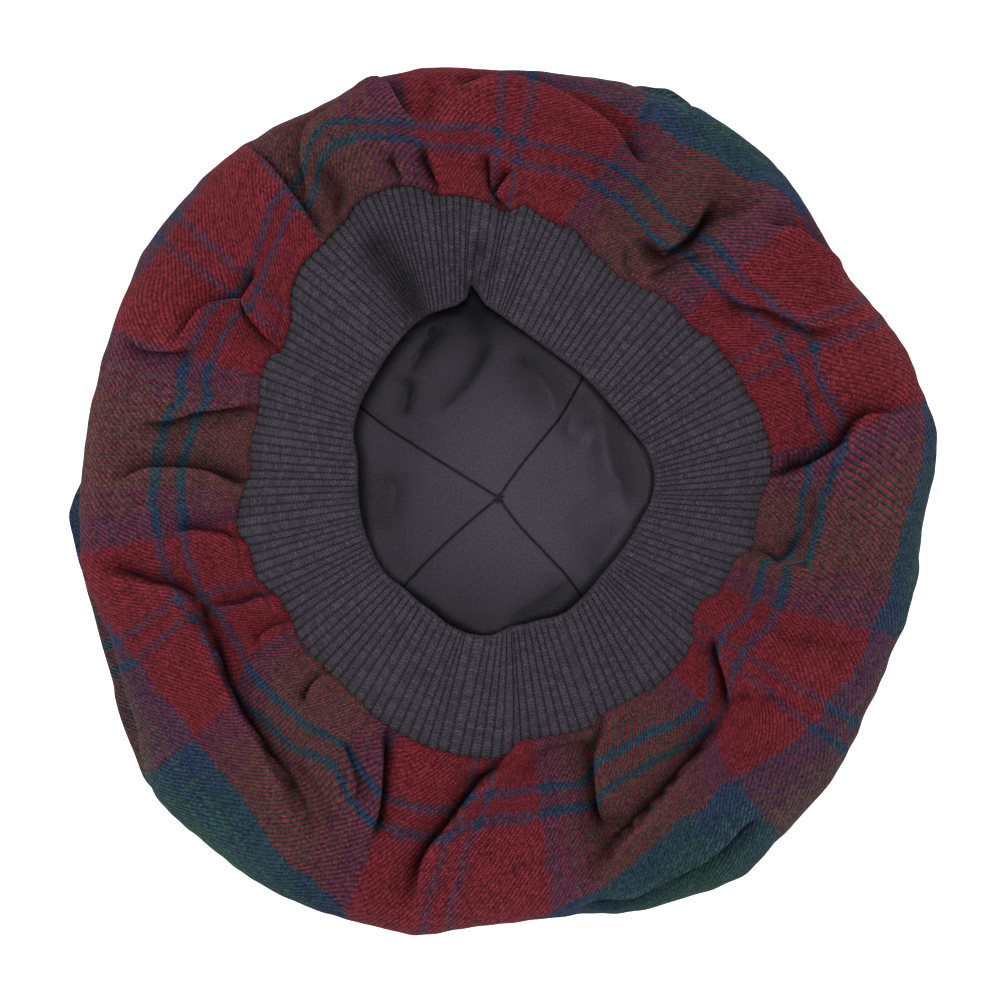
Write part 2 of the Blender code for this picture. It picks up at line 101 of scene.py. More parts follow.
# Where the crown's rolled edge meets the band.
SEAM = (
    (0, 83.2), (5, 87.1), (8, 88.1), (12, 88.4), (20, 88.1), (24, 86.5), (28, 86.8),
    (33, 85.8), (38, 86.1), (40, 84.2), (42, 83.5), (50, 83.9), (55, 83.5),
    (58, 82.2), (60, 81.9), (65, 82.9), (68, 85.2), (70, 85.8), (72, 87.4),
    (75, 91), (80, 92), (83, 94.2), (86, 96.5), (88, 94.2), (90, 93.9), (92, 96.2),
    (95, 98.5), (98, 100.1), (102, 101.4), (105, 105.6), (108, 107.6), (111, 108.2),
    (114, 108.2), (117, 107.2), (119, 104.7), (122, 103.4), (125, 102), (130, 100.8),
    (135, 96.9), (137, 94.2), (140, 90), (143, 87.8), (146, 86.8), (149, 89),
    (153, 88.1), (156, 86.1), (158, 84.8), (160, 83.9), (170, 83.2), (173, 82.5),
    (178, 83.9), (180, 85.2), (183, 86.1), (186, 86.5), (188, 85.2), (190, 83.5),
    (197, 83.5), (199, 82.2), (201, 80.6), (203, 79.3), (206, 78.7), (209, 78.3),
    (215, 79.6), (225, 79), (235, 79.6), (238, 81.2), (240, 81.9), (245, 82.2),
    (252, 83.2), (266, 83.9), (269, 83.2), (271, 81.9), (272, 80.3), (275, 78),
    (285, 78), (289, 78.7), (292, 79), (294, 76.4), (300, 76.4), (305, 77),
    (310, 78), (315, 78), (320, 77.4), (323, 76.7), (326, 74.1), (330, 71.8),
    (334, 72.5), (337, 75.7), (341, 76.7), (345, 77.4), (347, 79), (349, 81.9),
    (355, 82.5),
)
MOUTH = (
    (2.7, 48.6), (11, 49.8), (18, 49.6), (30, 47.4), (41, 46.8), (60, 48.6),
    (73, 51.3), (85, 56.5), (92, 61.2), (95, 64.0), (97, 68.5), (98.5, 70.5),
    (100.5, 66.5), (104.7, 64.9), (111, 64.9), (115, 64.3), (124.5, 61.2),
    (134, 58.3), (147, 55.5), (155, 53.4), (164.5, 48.8), (177, 46.8), (185, 46.2),
    (197, 45.4), (211, 44.7), (223, 42.5), (236, 42.3), (248, 43.8), (256, 44.2),
    (264, 43.7), (274, 40.7), (286, 40.2), (298, 41.3), (309, 40.5), (322, 39.9),
    (338, 41.9), (352, 45),
)

# ---- tartan ----------------------------------------------------------------------
THREAD = 0.475 * MM
# Half a sett in threads, from the middle of the narrow pair of lines outwards.
SETT = (("red", 6), ("navy", 6), ("red", 60), ("navy", 22), ("green", 4),
        ("navy", 4), ("green", 4), ("navy", 4), ("green", 46))
HALF_SETT = sum(count for _, count in SETT)
PAIR_LINE = 9 * THREAD              # from the pair's middle to one line's middle
RED_EDGE = 72 * THREAD              # to the end of the red
REPEAT = 2 * HALF_SETT * THREAD
# The pair of lines that runs round the hat: (angle, middle radius, spacing) in mm.
RING_PAIR = (
    (0, 100.1, 6.5), (3, 102, 7.2), (5, 103.4, 7.8), (7, 104.7, 8.5),
    (10, 108.9, 6.5), (13, 109, 7.5), (15, 107.9, 7.8), (17.5, 107.6, 5.9),
    (20, 107.1, 4.2), (22, 107.1, 4.9), (25, 107.7, 7.5), (27, 107.9, 8.5),
    (30, 107.4, 8.1), (32, 106.9, 5.9), (35, 105, 5.9), (38, 104.2, 6.2),
    (40, 103.4, 6.5), (43, 102, 7.2), (45, 102.7, 7.8), (48, 103, 8.5),
    (50, 103.5, 8.8), (54, 103.7, 7.2), (58, 101.9, 7.5), (60, 102.5, 8.1),
    (62, 104, 8.5), (65, 106.3, 9.1), (68, 108.7, 8.1), (70, 109.4, 8.8),
    (75, 111, 7.5), (80, 112.1, 7.2), (85, 112.5, 7.2), (87, 113.3, 6.8),
    (90, 115.4, 6.5), (92, 116.8, 6.2), (95, 117.8, 6.8), (98, 119, 5.9),
    (100, 119.6, 5.9), (103, 121.9, 5.9), (105, 124.2, 5.2), (108, 126.9, 4.9),
    (110, 128.4, 5.2), (112, 130, 5.9), (115, 131.3, 7.2), (117, 129.7, 7.2),
    (119, 126.8, 7.8), (121, 121.4, 6.8), (124, 118.5, 8.1), (125, 119.8, 5.5),
    (127, 118.5, 5.5), (130, 115.5, 6.2), (132, 113.1, 5.2), (135, 110.3, 4.9),
    (138, 108.1, 4.9), (140, 106.8, 4.2), (142, 106.3, 5.9), (146, 109.2, 7.2),
    (150, 108.5, 7.2), (155, 108.1, 6.8), (158, 107.7, 6.8), (160, 105.8, 8.8),
    (161, 105.1, 8.1), (163, 105.5, 8.1), (165, 107.1, 8.1), (168, 107.6, 8.5),
    (175, 108.4, 8.1), (180, 108.4, 8.8), (185, 107.7, 8.8), (190, 107.7, 7.5),
    (192, 106.9, 8.5), (194, 106.3, 7.2), (198, 105.6, 7.2), (203, 102, 7.2),
    (205, 102, 7.8), (210, 101.7, 8.5), (212, 102.5, 8.1), (215, 102.9, 8.8),
    (218, 102.4, 9.1), (220, 101.6, 8.8), (225, 100.8, 7.8), (230, 100.3, 8.1),
    (232, 99.1, 8.5), (235, 98.3, 7.5), (237, 98, 7.5), (240, 100.6, 7.5),
    (242, 102.7, 9.1), (244, 104.7, 9.1), (246, 106, 9.1), (248, 107.1, 9.4),
    (250, 107.4, 8.8), (255, 107.2, 8.5), (258, 106.6, 9.1), (260, 106.4, 8.8),
    (264, 100.4, 8.5), (266, 99.8, 8.5), (268, 99, 8.1), (270, 98.3, 8.1),
    (275, 98, 8.1), (280, 97.8, 7.8), (286, 98.8, 7.2), (288, 97, 8.8),
    (290, 94.4, 9.4), (292, 93.9, 9.1), (295, 93.4, 8.8), (300, 93.1, 8.8),
    (305, 94.1, 8.8), (308, 95.1, 8.1), (310, 95.5, 7.8), (315, 95.7, 6.8),
    (317, 94.7, 5.5), (322, 90, 7.8), (325, 88.2, 7.5), (328, 87.8, 7.8),
    (330, 87.9, 8.8), (332, 89, 7.8), (335, 90.8, 7.5), (340, 91.2, 7.5),
    (347, 90.9, 7.2), (349, 97.5, 5.5), (351, 98, 5.5), (355, 99.3, 5.5),
    (357, 99.8, 5.9),
)
# The red's outer edge where it shows: (angle, radius in mm), 0 where it is hidden.
RED_RING = (
    (0, 132.6), (5, 135.5), (8, 138.1), (12, 139.8), (15, 141.1), (16, 0), (37, 0),
    (38, 131.6), (42, 132.3), (45, 134.6), (48, 135.2), (50, 133.9), (53, 130.7),
    (57, 130), (68, 130), (70, 130.7), (72, 132), (75, 134.2), (80, 134.9),
    (85, 135.8), (88, 137.5), (90, 139.8), (91, 0), (130, 0), (131, 142),
    (135, 140.4), (138, 139.1), (143, 137.8), (146, 138.1), (150, 140.1), (151, 0),
    (194, 0), (195, 136.5), (198, 133.9), (200, 131.6), (205, 129.3), (208, 127.4),
    (213, 125.8), (218, 125.1), (225, 126.1), (230, 129), (235, 132), (240, 135.8),
    (245, 138.8), (250, 143), (251, 0), (269, 0), (270, 137.8), (275, 135.5),
    (278, 133.9), (280, 132), (285, 129.3), (288, 126.1), (290, 123.5),
    (295, 120.2), (298, 118), (300, 117.3), (306, 116.4), (311, 117.3),
    (316, 119.9), (322, 122.5), (330, 124.2), (334, 126.8), (345, 127.1),
    (350, 128.1), (355, 130.3),
)
# The pairs that run from rim to band.  At each of three radii: where the red
# starts, the middle of the pair, and where the red ends, in degrees.
CROSS_RADII = (94.0 * MM, 112.0 * MM, 130.0 * MM)
CROSS_PAIRS = (
    ((10.5, 28.7, 45.2), (10.4, 28.4, 44.7), (13.6, 27.5, 43.8)),
    ((77.8, 90.5, 102.2), (73.5, 89.2, 102.3), (70.8, 88.2, 103.5)),
    ((125.0, 141.0, 153.5), (125.2, 140.8, 155.2), (125.8, 140.8, 156.0)),
    ((185.0, 199.4, 211.0), (186.3, 198.9, 217.0), (187.0, 201.8, 217.5)),
    ((246.0, 266.0, 277.0), (249.0, 262.6, 276.9), (249.5, 261.2, 276.7)),
    ((315.0, 326.3, 338.5), (310.2, 326.0, 340.0), (309.9, 326.0, 340.8)),
)

# ---- folds in the crown, on the side that faces up --------------------------------
# name, depth, width on the folded-over side, width on the lower side, height of the
# fold's shoulder, how far it hangs over, then plan points.  All in millimetres.  The
# folded-over side is on the left of the way along the points.
FOLDS = (
    ("right_deep", 8, 1.6, 6, 1.5, 1.4,
     (132, 30.5), (123, 28.5), (118, 27), (115, 23), (110, 17), (100, 11), (92, 9),
     (87, 8)),
    ("right_pucker", 2.5, 2, 3, 0, 0, (99, 36), (100.5, 29), (102, 25)),
    ("right_soft", 3, 4, 4, 0, 0, (100, 3), (102, -4), (99, -11), (90, -17)),
    ("right_band_crease", 3, 1.6, 3.5, 0.6, 0.4, (99, -10), (90, -20), (83, -16),
     (74, -17)),
    ("right_wrinkle", 2.5, 2.5, 3, 0, 0, (87, -40), (93, -45), (105, -46), (116, -48.5)),
    ("top_right_deep", 8, 2, 4.5, 1, 1.2,
     (42.5, 84), (46, 84.3), (51.1, 83), (56.6, 85.9), (61.9, 91.4), (66.3, 96.8), (74, 100)),
    ("top_right_hook", 4, 1.3, 1.5, 0, 0, (43, 69), (40.3, 74), (39.7, 78.4), (41.8, 83)),
    ("top_right_valley", 9, 9, 4, 0, 0, (54, 86), (61, 89), (67, 94), (74, 97), (84, 98)),
    ("top_right_next", 3, 2, 4, 0.5, 0.3, (48, 72), (53, 78), (60, 80), (68, 80)),
    ("upper_right_crease", 4.5, 1.8, 4, 1, 0.6,
     (69, 71), (72, 67), (76, 64), (85, 63), (92, 60), (102, 56), (113, 55)),
    ("ridge_right", 6, 2, 6, 2.6, 1.8,
     (113, 71), (110, 75), (103, 80), (97, 85), (92, 88), (85, 92)),
    ("top_ridge", 8, 2.2, 8, 3.2, 3.5,
     (50, 107), (40, 114.5), (31, 120.5), (22, 126), (12, 131), (-1, 135), (-15, 137),
     (-20, 138.5)),
    ("puff_gap", 4, 6, 6, 0, 0,
     (-23, 140), (-22, 135), (-23, 131), (-25, 127), (-27, 123)),
    ("puff_edge", 6.5, 2, 7, 2, 1.5,
     (-27, 122), (-28.5, 125), (-33.5, 130.5), (-40, 136), (-48, 131.5), (-55, 126),
     (-62, 120.5), (-64, 114), (-65, 107), (-65, 101), (-66, 94)),
    ("puff_hollow", 6.5, 2.2, 4, 0, 0,
     (-54, 89), (-54.5, 95), (-55, 101), (-58, 106), (-59, 110)),
    ("seam_a", 3.5, 1.2, 4, 1, 0.8,
     (-59, 87), (-64.9, 94.6), (-69.1, 100.1), (-74.7, 107.6), (-78.2, 111.8), (-84, 118)),
    ("upper_left", 5.5, 1.6, 5, 1.2, 1.3,
     (-82, 78), (-81, 74), (-82, 69), (-84, 65), (-88, 64.5), (-95, 63), (-101, 59),
     (-108, 55)),
    ("left_notch", 4, 1.3, 3, 0.4, 0.3, (-85, 63), (-79, 56), (-75, 51.5), (-71, 47)),
    ("left_high", 4.5, 2.2, 5, 0.8, 0.5, (-120, 23), (-108, 26.5), (-97, 29.5), (-79, 30.5)),
    ("left_edge", 4, 4, 5, 0.5, 0.2, (-125, 53), (-119, 50), (-106, 48.5), (-99, 47)),
    ("left_middle", 6, 1.6, 6, 1.4, 1.2,
     (-85, 6), (-96, 9), (-107, 10), (-118, 9.5), (-127, 7)),
    ("left_low", 4.5, 1.4, 4, 1, 0.8,
     (-80, -12.5), (-84.5, -12.5), (-96, -10.5), (-103, -9.5), (-108, -8)),
    ("left_long", 6, 1.5, 5.5, 1.4, 1.2,
     (-96, -36), (-101, -32), (-108, -29), (-115, -28), (-122, -25.5), (-131, -21)),
    ("hollow", 10, 1.8, 7, 1.8, 2.6,
     (-66, -104), (-71, -93), (-76.5, -86.5), (-84, -74.5), (-92, -61), (-94.5, -51.5),
     (-95.5, -45), (-97, -38), (-97, -32)),
    ("hollow_top", 4, 1.4, 4, 0.5, 0.5,
     (-72, -30), (-78, -31), (-85, -34), (-94, -34), (-96, -33)),
    ("lower_left_a", 3.5, 1.4, 4, 0.5, 0.5, (-65, -38), (-72, -40), (-77, -43), (-82, -47)),
    ("lower_left_b", 4, 1.3, 3, 0.5, 0.4, (-52, -57), (-58, -56), (-62.5, -61), (-65, -67)),
    ("lower_left_rim", 3, 1.4, 4, 0.8, 0.8,
     (-82, -122), (-74, -126), (-62.5, -130.5), (-48, -136)),
    ("bottom_seam", 6, 1.8, 3.5, 1.2, 0.8,
     (-42, -112), (-41, -103), (-40, -95), (-39.5, -88), (-38.5, -80), (-38, -75)),
    ("bottom_seam_next", 3, 1.8, 2.5, 0.6, 0.3,
     (-49, -100), (-48, -92), (-50, -84), (-52, -76)),
    ("hollow_end", 4, 2.5, 3, 0.5, 0, (-62, -112), (-64, -104), (-68, -97), (-74, -92)),
    ("hollow_beside", 3.5, 3, 3, 0.5, 0, (-54, -110), (-58, -101), (-63, -92), (-70, -84)),
    ("bottom_long", 7.5, 1.5, 6, 2.2, 2,
     (2, -80), (-1, -85), (-4, -90), (-11.5, -99.5), (-18, -108), (-24.5, -116.5),
     (-29, -127), (-31, -133)),
    ("bottom_puff", 3, 2.5, 4, 0, 0, (6, -90), (11, -84), (15, -79), (18, -75)),
    ("bottom_hollow", 4, 5, 4, 0, 0, (31, -98), (34, -104), (40, -108)),
    ("left_pit", 7, 2, 2.5, 0, 0, (-97.5, -33), (-97.5, -43)),
    ("bottom_valley", 5, 12, 3, 0, 0, (33, -116), (30.5, -104), (29, -92), (27, -80)),
    ("bottom_kink", 4.5, 2.5, 4, 0.8, 0.2,
     (32, -71), (30, -80), (30, -90), (30.5, -96), (31.5, -105), (34, -114)),
    ("lower_right_long", 8.5, 1.8, 7, 1.8, 2,
     (76, -66), (71.5, -71), (66.5, -81), (58.5, -90.5), (51, -99.5), (44.5, -107),
     (37, -114), (31, -119), (24, -123)),
    ("lower_right_seam", 5.5, 1.4, 4.5, 1.5, 1.5,
     (67.5, -43), (70.5, -49.5), (73, -57), (74, -64), (72, -70)),
    ("hook", 4, 1.2, 1.8, 0, 0, (82, -64.5), (79, -64), (77, -65), (76, -67)),
    ("hook_tail", 2.5, 2.2, 2.5, 0, 0, (81, -64), (88, -64.5), (97, -67)),
    ("rim_groove", 7, 1.5, 5, 1.2, 1.8,
     (24, -133), (33, -130), (42, -127.5), (53, -122), (64, -116.5), (75, -109),
     (81, -105), (88, -102.5)),
    ("gather_top", 5.5, 1.5, 2.2, 0.6, 0.4, (3.5, 109), (1.5, 103.5), (-1, 99), (2, 94)),
    ("gather_next", 4.5, 1.5, 2.2, 0.5, 0.3, (-6, 114), (-4, 110), (-3, 103.5), (-1, 96)),
    ("gather_left", 5, 1.5, 2.5, 0.6, 0.4, (-26, 116), (-22.5, 108.5), (-21, 103),
     (-21.5, 99)),
    ("gather_far_left", 4.5, 1.8, 3, 0.5, 0.3, (-37, 114), (-34, 109), (-33, 104), (-34, 99)),
)
FOLD_FADE = (8.0 * MM, 24.0 * MM)   # heights between which a fold comes in
RIM_FADE = (0.2 * MM, 3.5 * MM)     # distances inside the outline, the same

# ---- the band's ribs --------------------------------------------------------------
# Ribs in each 15 degrees at the sewn edge.
RIB_SECTOR = 15.0
RIB_DENSITY = (7.8, 6.9, 7.0, 7.2, 8.2, 9.7, 11, 11.4, 8.6, 8.1, 7.6, 7.2, 7.1, 6.6,
               6.1, 5.8, 6.2, 6.4, 6.1, 6.2, 5.8, 6.2, 6.7, 6.9)
# Angle of a rib at the sewn edge, and how far it has turned at the mouth.
RIB_TURN = (
    (10, -1), (20, -2.5), (30, -3), (40, -1.5), (50, 0.5), (60, 4.5), (65, 6),
    (70, 7), (75, 8), (80, 9), (85, 7), (90, 5.5), (98, 4.5), (103, 4.6), (107, 4.0),
    (111, 1.6), (115, -1.6), (119, -4.6), (123, -6.4), (130, -7), (140, -5), (150, -4),
    (160, -5), (170, -4), (180, -3), (190, -3), (200, -3.5), (205, -4), (215, -4),
    (225, -4), (235, -3.5), (240, -2), (245, 0), (250, 1), (256, -1), (260, 3),
    (265, 3), (270, 2), (275, 0), (290, 1), (297, 6), (305, 7), (310, 7), (315, 6),
    (325, 3), (330, 2), (340, 1), (350, 3),
)


# ---- curves ----------------------------------------------------------------------
def slopes(x, y):
    """Slopes of the monotone cubic through rows of values."""
    step = np.diff(x, axis=0)
    rise = np.diff(y, axis=0) / step
    slope = np.zeros_like(y)
    before, after = rise[:-1], rise[1:]
    w_before = 2.0 * step[1:] + step[:-1]
    w_after = step[1:] + 2.0 * step[:-1]
    same = before * after > 0.0
    safe_before = np.where(same, before, 1.0)
    safe_after = np.where(same, after, 1.0)
    mean = (w_before + w_after) / (w_before / safe_before + w_after / safe_after)
    slope[1:-1] = np.where(same, mean, 0.0)
    slope[0] = rise[0]
    slope[-1] = rise[-1]
    return slope


def curve(x, y, at):
    """The monotone cubic through y(x), at other places.  y may have more columns."""
    x = np.asarray(x, float)
    y = np.asarray(y, float)
    wide = x.reshape((-1,) + (1,) * (y.ndim - 1))
    slope = slopes(wide, y)
    k = np.clip(np.searchsorted(x, at, side="right") - 1, 0, len(x) - 2)
    step = wide[k + 1] - wide[k]
    t = (np.asarray(at, float).reshape((-1,) + (1,) * (y.ndim - 1)) - wide[k]) / step
    t = np.clip(t, 0.0, 1.0)
    return ((2 * t ** 3 - 3 * t ** 2 + 1) * y[k] + (t ** 3 - 2 * t ** 2 + t) * step * slope[k]
            + (3 * t ** 2 - 2 * t ** 3) * y[k + 1] + (t ** 3 - t ** 2) * step * slope[k + 1])


def around(table, angles, column=1):
    """A table of (angle, value, ...) as a smooth periodic curve."""
    x = np.array([row[0] for row in table], float)
    y = np.array([row[column] for row in table], float)
    x = np.concatenate([x[-3:] - 360.0, x, x[:3] + 360.0])
    y = np.concatenate([y[-3:], y, y[:3]])
    flat = np.mod(np.asarray(angles, float), 360.0)
    return curve(x, y, flat.ravel()).reshape(flat.shape)


def height_curve(name, angles):
    column = HEIGHT_COLUMNS.index(name)
    table = [(10.0 * k, row[column]) for k, row in enumerate(HEIGHTS)]
    return around(table, angles) * MM


def smooth_step(value, low, high):
    t = np.clip((value - low) / (high - low), 0.0, 1.0)
    return t * t * (3.0 - 2.0 * t)


def both_ends(share, low, high):
    """1 along a line, fading out at both of its ends."""
    return smooth_step(share, low, high) * smooth_step(1.0 - share, low, high)


def bell(d, w_left, w_right, power=2):
    """1 on a line, falling off by a width of its own on either side."""
    return np.exp(-(np.abs(d) / np.where(d > 0.0, w_left, w_right)) ** power)


def bearing(x, y):
    """Angle of plan points from +X, 0 to 360 degrees."""
    return np.degrees(np.arctan2(y, x)) % 360.0


def polar(radius, angles, height):
    turn = np.radians(angles)
    radius, height = np.broadcast_arrays(radius, height)
    return np.stack([radius * np.cos(turn), radius * np.sin(turn), height], axis=-1)


def grid_normals(points):
    """Unit normals of a closed ring of points, rows by columns."""
    down = np.gradient(points, axis=0)
    across = np.roll(points, -1, axis=1) - np.roll(points, 1, axis=1)
    normal = np.cross(across, down)
    return normal / (np.linalg.norm(normal, axis=-1, keepdims=True) + 1e-15)


def soften(points, rows, times):
    """Even out a band of rows of a closed ring of points."""
    for _ in range(times):
        part = points[rows]
        inner = part[1:-1]
        mean = 0.25 * (part[:-2] + part[2:] + np.roll(inner, 1, axis=1)
                       + np.roll(inner, -1, axis=1))
        part[1:-1] = 0.5 * inner + 0.5 * mean
        points[rows] = part
    return points


def waves(x, y, length, seed, count=14):
    """Gentle seeded unevenness over the plan, about -1 to 1."""
    rng = np.random.default_rng(seed)
    total = np.zeros(np.shape(x))
    for _ in range(count):
        turn = rng.uniform(0.0, 2.0 * math.pi)
        phase = rng.uniform(0.0, 2.0 * math.pi)
        size = 2.0 * math.pi / (length * rng.uniform(0.7, 1.5))
        total += np.sin((x * math.cos(turn) + y * math.sin(turn)) * size + phase)
    return total / math.sqrt(count)


def uneven_cloth(x, y, table):
    """Heights of several sizes of waves: length in mm, seed, and height in mm."""
    return sum(waves(x, y, length * MM, seed) * height * MM for length, seed, height in table)


# ---- meshes ----------------------------------------------------------------------
BACK_STEP = 4                       # rows of the front for each row of the back


def build(name, points, faces, material, uv=None, flat_faces=0, nodes=(), shade=None):
    """A piece from arrays of points and triangles.  uv has a row for each corner; the
    last flat_faces triangles are narrow walls that keep their own shading.  shade is
    the painted shade and light of each point, as in a crease: a share of its colour."""
    points = np.asarray(points, float) - (PLAN_SHIFT[0], PLAN_SHIFT[1], 0.0)
    faces = np.asarray(faces, int)
    mesh = bpy.data.meshes.new(name)
    mesh.vertices.add(len(points))
    mesh.vertices.foreach_set("co", points.ravel())
    mesh.loops.add(faces.size)
    mesh.loops.foreach_set("vertex_index", faces.ravel())
    mesh.polygons.add(len(faces))
    mesh.polygons.foreach_set("loop_start", np.arange(len(faces)) * 3)
    smooth = np.ones(len(faces), bool)
    if flat_faces:
        smooth[-flat_faces:] = False
    mesh.polygons.foreach_set("use_smooth", smooth)
    mesh.update(calc_edges=True)
    if uv is not None:
        layer = mesh.uv_layers.new(name="cloth")
        layer.data.foreach_set("uv", np.asarray(uv, float).ravel())
    if shade is not None:
        layer = mesh.uv_layers.new(name="shade")
        layer.data.foreach_set("uv", np.repeat(shade[faces].ravel(), 2))
    mesh.validate()
    mesh.materials.append(material)
    obj = bpy.data.objects.new(name, mesh)
    bpy.context.scene.collection.objects.link(obj)
    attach(obj, "root")
    if nodes:
        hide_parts(*nodes)
    return obj


def back_rows_of(rows):
    """The rows of a piece's fine front that its coarser back has too."""
    return list(range(0, rows - 1, BACK_STEP)) + [rows - 1]


def front_and_back(front, back, back_rows):
    """Values of all points of a piece: its front's grid, then its back's."""
    value = front.shape[2:]
    return np.concatenate([front.reshape(-1, *value), back[back_rows].reshape(-1, *value)])


def sheet_triangles(rows, columns, back_rows, flip=False):
    """Triangles of a thin closed piece, and those of them that are its narrow walls."""
    layer = rows * columns
    walls = wall_triangles(rows, columns, layer, back_rows)
    walls = walls[:, ::-1] if flip else walls
    front = grid_triangles(rows, columns, flip=flip)
    back = grid_triangles(len(back_rows), columns, layer, flip=not flip)
    return np.concatenate([front, back, walls]), walls


def grid_triangles(rows, columns, offset=0, closed=False, flip=False):
    """Triangles of a grid of points, two for each cell, cell by cell."""
    across = columns if closed else columns - 1
    i, j = np.meshgrid(np.arange(rows - 1), np.arange(across), indexing="ij")
    i, j = i.ravel(), j.ravel()
    n = (j + 1) % columns
    a, b = i * columns + j, i * columns + n
    c, d = (i + 1) * columns + n, (i + 1) * columns + j
    faces = np.stack([a, b, c, a, c, d], axis=-1).reshape(-1, 3) + offset
    return faces[:, ::-1] if flip else faces


def wall_triangles(rows, columns, layer, back_rows):
    """Triangles that close a fine grid and a back grid, which has only back_rows of
    its rows, along their border."""
    faces = []
    last = (len(back_rows) - 1) * columns + layer
    for j in range(columns - 1):
        top, bottom = (j, j + 1), ((rows - 1) * columns + j, (rows - 1) * columns + j + 1)
        faces += [(top[1], top[0], layer + j), (top[1], layer + j, layer + j + 1)]
        faces += [(bottom[0], bottom[1], last + j), (bottom[1], last + j + 1, last + j)]
    for side, j in ((0, 0), (1, columns - 1)):
        for k in range(len(back_rows) - 1):
            first, stop = back_rows[k], back_rows[k + 1]
            half = (first + stop) // 2
            a = layer + k * columns + j
            b = layer + (k + 1) * columns + j
            group = [(a, i * columns + j, (i + 1) * columns + j) for i in range(first, half)]
            group.append((a, half * columns + j, b))
            group += [(b, i * columns + j, (i + 1) * columns + j) for i in range(half, stop)]
            faces += group if side == 0 else [face[::-1] for face in group]
    return np.array(faces)


# ---- crown -----------------------------------------------------------------------
COLUMN_STEP = 0.25
ANGLES = np.arange(0.0, 360.0, COLUMN_STEP)
# (share of the way from axis to rim, share of rim height) under the rim, then
# (share of the way from rim to seam, share of the way from rim to puff) above it.
CROWN_LOW = ((0.42, 0.0), (0.80, 0.0), (0.935, 0.11))
CROWN_HIGH = ((0.06, 0.31), (0.24, 0.62), (0.49, 0.87), (0.78, 1.0))
# Beside the band: (outside the seam line, above the band's sewn edge) in mm.
CROWN_ROLL = ((4.4, 2.7), (1.3, 3.2), (-0.4, 1.7), (0.2, -1.6), (3.5, -4.2))
CROWN_ROWS = (5, 6, 4, 6, 7, 8, 10, 16, 22, 27, 20, 6, 5, 4, 2)
LOBE_HEIGHT = 0.42                  # height of the lower lobe, as a share of rim_z
LOBE_CREASE = 0.66                  # height of the crease above it, the same
LOBE_CREASE_LIFT = 0.06             # added to that share where there is no lobe
PLAIN_IN = 1.6                      # how far the cloth draws in where there is no lobe, mm
LOBE_CREASE_IN = 0.6                # how far the crease cuts in everywhere, mm
LOBE_CREASE_SHARE = 1.25            # and how far more, as a share of the lobe's width
LINE_STEPS = 5                      # points of a fold's line between two plan points


def crown_base():
    """Smooth crown surface, rows from the axis to the band, and the rim's row."""
    outline = around(OUTLINE, ANGLES) * MM
    lobe = np.maximum(around(LOBE, ANGLES), 0.0) * MM
    seam = around(SEAM, ANGLES) * MM
    rim_z = height_curve("rim_z", ANGLES)
    puff = height_curve("puff", ANGLES)
    seam_z = height_curve("seam_z", ANGLES)
    zero = np.zeros(len(ANGLES))
    upper = outline - lobe
    has_lobe = smooth_step(lobe, 0.0, 1.5 * MM)
    rows = [(zero + CENTRE_HOLE, zero)]
    rows += [(outline * share, rim_z * rise) for share, rise in CROWN_LOW]
    rows.append((outline - (1.0 - has_lobe) * PLAIN_IN * MM, rim_z * LOBE_HEIGHT))
    rows.append((outline - LOBE_CREASE_IN * MM - lobe * LOBE_CREASE_SHARE,
                 rim_z * (LOBE_CREASE + LOBE_CREASE_LIFT * (1 - has_lobe))))
    rows.append((upper, rim_z))
    rim_row = len(rows) - 1
    rows += [(upper + (seam - upper) * share, rim_z + (puff - rim_z) * rise)
             for share, rise in CROWN_HIGH]
    rows += [(seam + out * MM, seam_z + up * MM) for out, up in CROWN_ROLL]
    radius = np.stack([row[0] for row in rows])
    height = np.stack([row[1] for row in rows])
    chord = np.hypot(np.diff(radius, axis=0), np.diff(height, axis=0)).mean(axis=1)
    knots = np.concatenate([[0.0], np.cumsum(chord)])
    places = [np.linspace(knots[k], knots[k + 1], count, endpoint=False)
              for k, count in enumerate(CROWN_ROWS)]
    places = np.concatenate(places + [knots[-1:]])
    fine = curve(knots, np.stack([radius, height], axis=-1), places)
    return fine[..., 0], fine[..., 1], sum(CROWN_ROWS[:rim_row])


def fold_line(points):
    """A dense smooth line through a fold's plan points."""
    points = np.array(points, float) * MM
    ends = np.concatenate([[2 * points[0] - points[1]], points,
                           [2 * points[-1] - points[-2]]])
    line = []
    for k in range(1, len(ends) - 2):
        a, b, c, d = ends[k - 1:k + 3]
        for t in np.linspace(0.0, 1.0, LINE_STEPS, endpoint=False):
            line.append(0.5 * (2 * b + (c - a) * t + (2 * a - 5 * b + 4 * c - d) * t ** 2
                               + (3 * b - a - 3 * c + d) * t ** 3))
    line.append(points[-1])
    return np.array(line)


def beside_line(x, y, line):
    """Signed distance in mm, positive on the left, share of the way along, and the
    left's direction."""
    best = np.full(x.shape, 1.0)
    side = np.zeros(x.shape)
    share = np.zeros(x.shape)
    to_left = np.zeros(x.shape + (2,))
    steps = np.linalg.norm(np.diff(line, axis=0), axis=1)
    run = np.concatenate([[0.0], np.cumsum(steps)]) / steps.sum()
    for k, step in enumerate(steps):
        along = (line[k + 1] - line[k]) / step
        px, py = x - line[k][0], y - line[k][1]
        t = np.clip(px * along[0] + py * along[1], 0.0, step)
        gap = np.hypot(px - t * along[0], py - t * along[1])
        near = gap < best
        best = np.where(near, gap, best)
        side = np.where(near, along[0] * py - along[1] * px, side)
        share = np.where(near, run[k] + t / step * (run[k + 1] - run[k]), share)
        to_left[near] = (-along[1], along[0])
    return np.where(side >= 0.0, best, -best) / MM, share, to_left


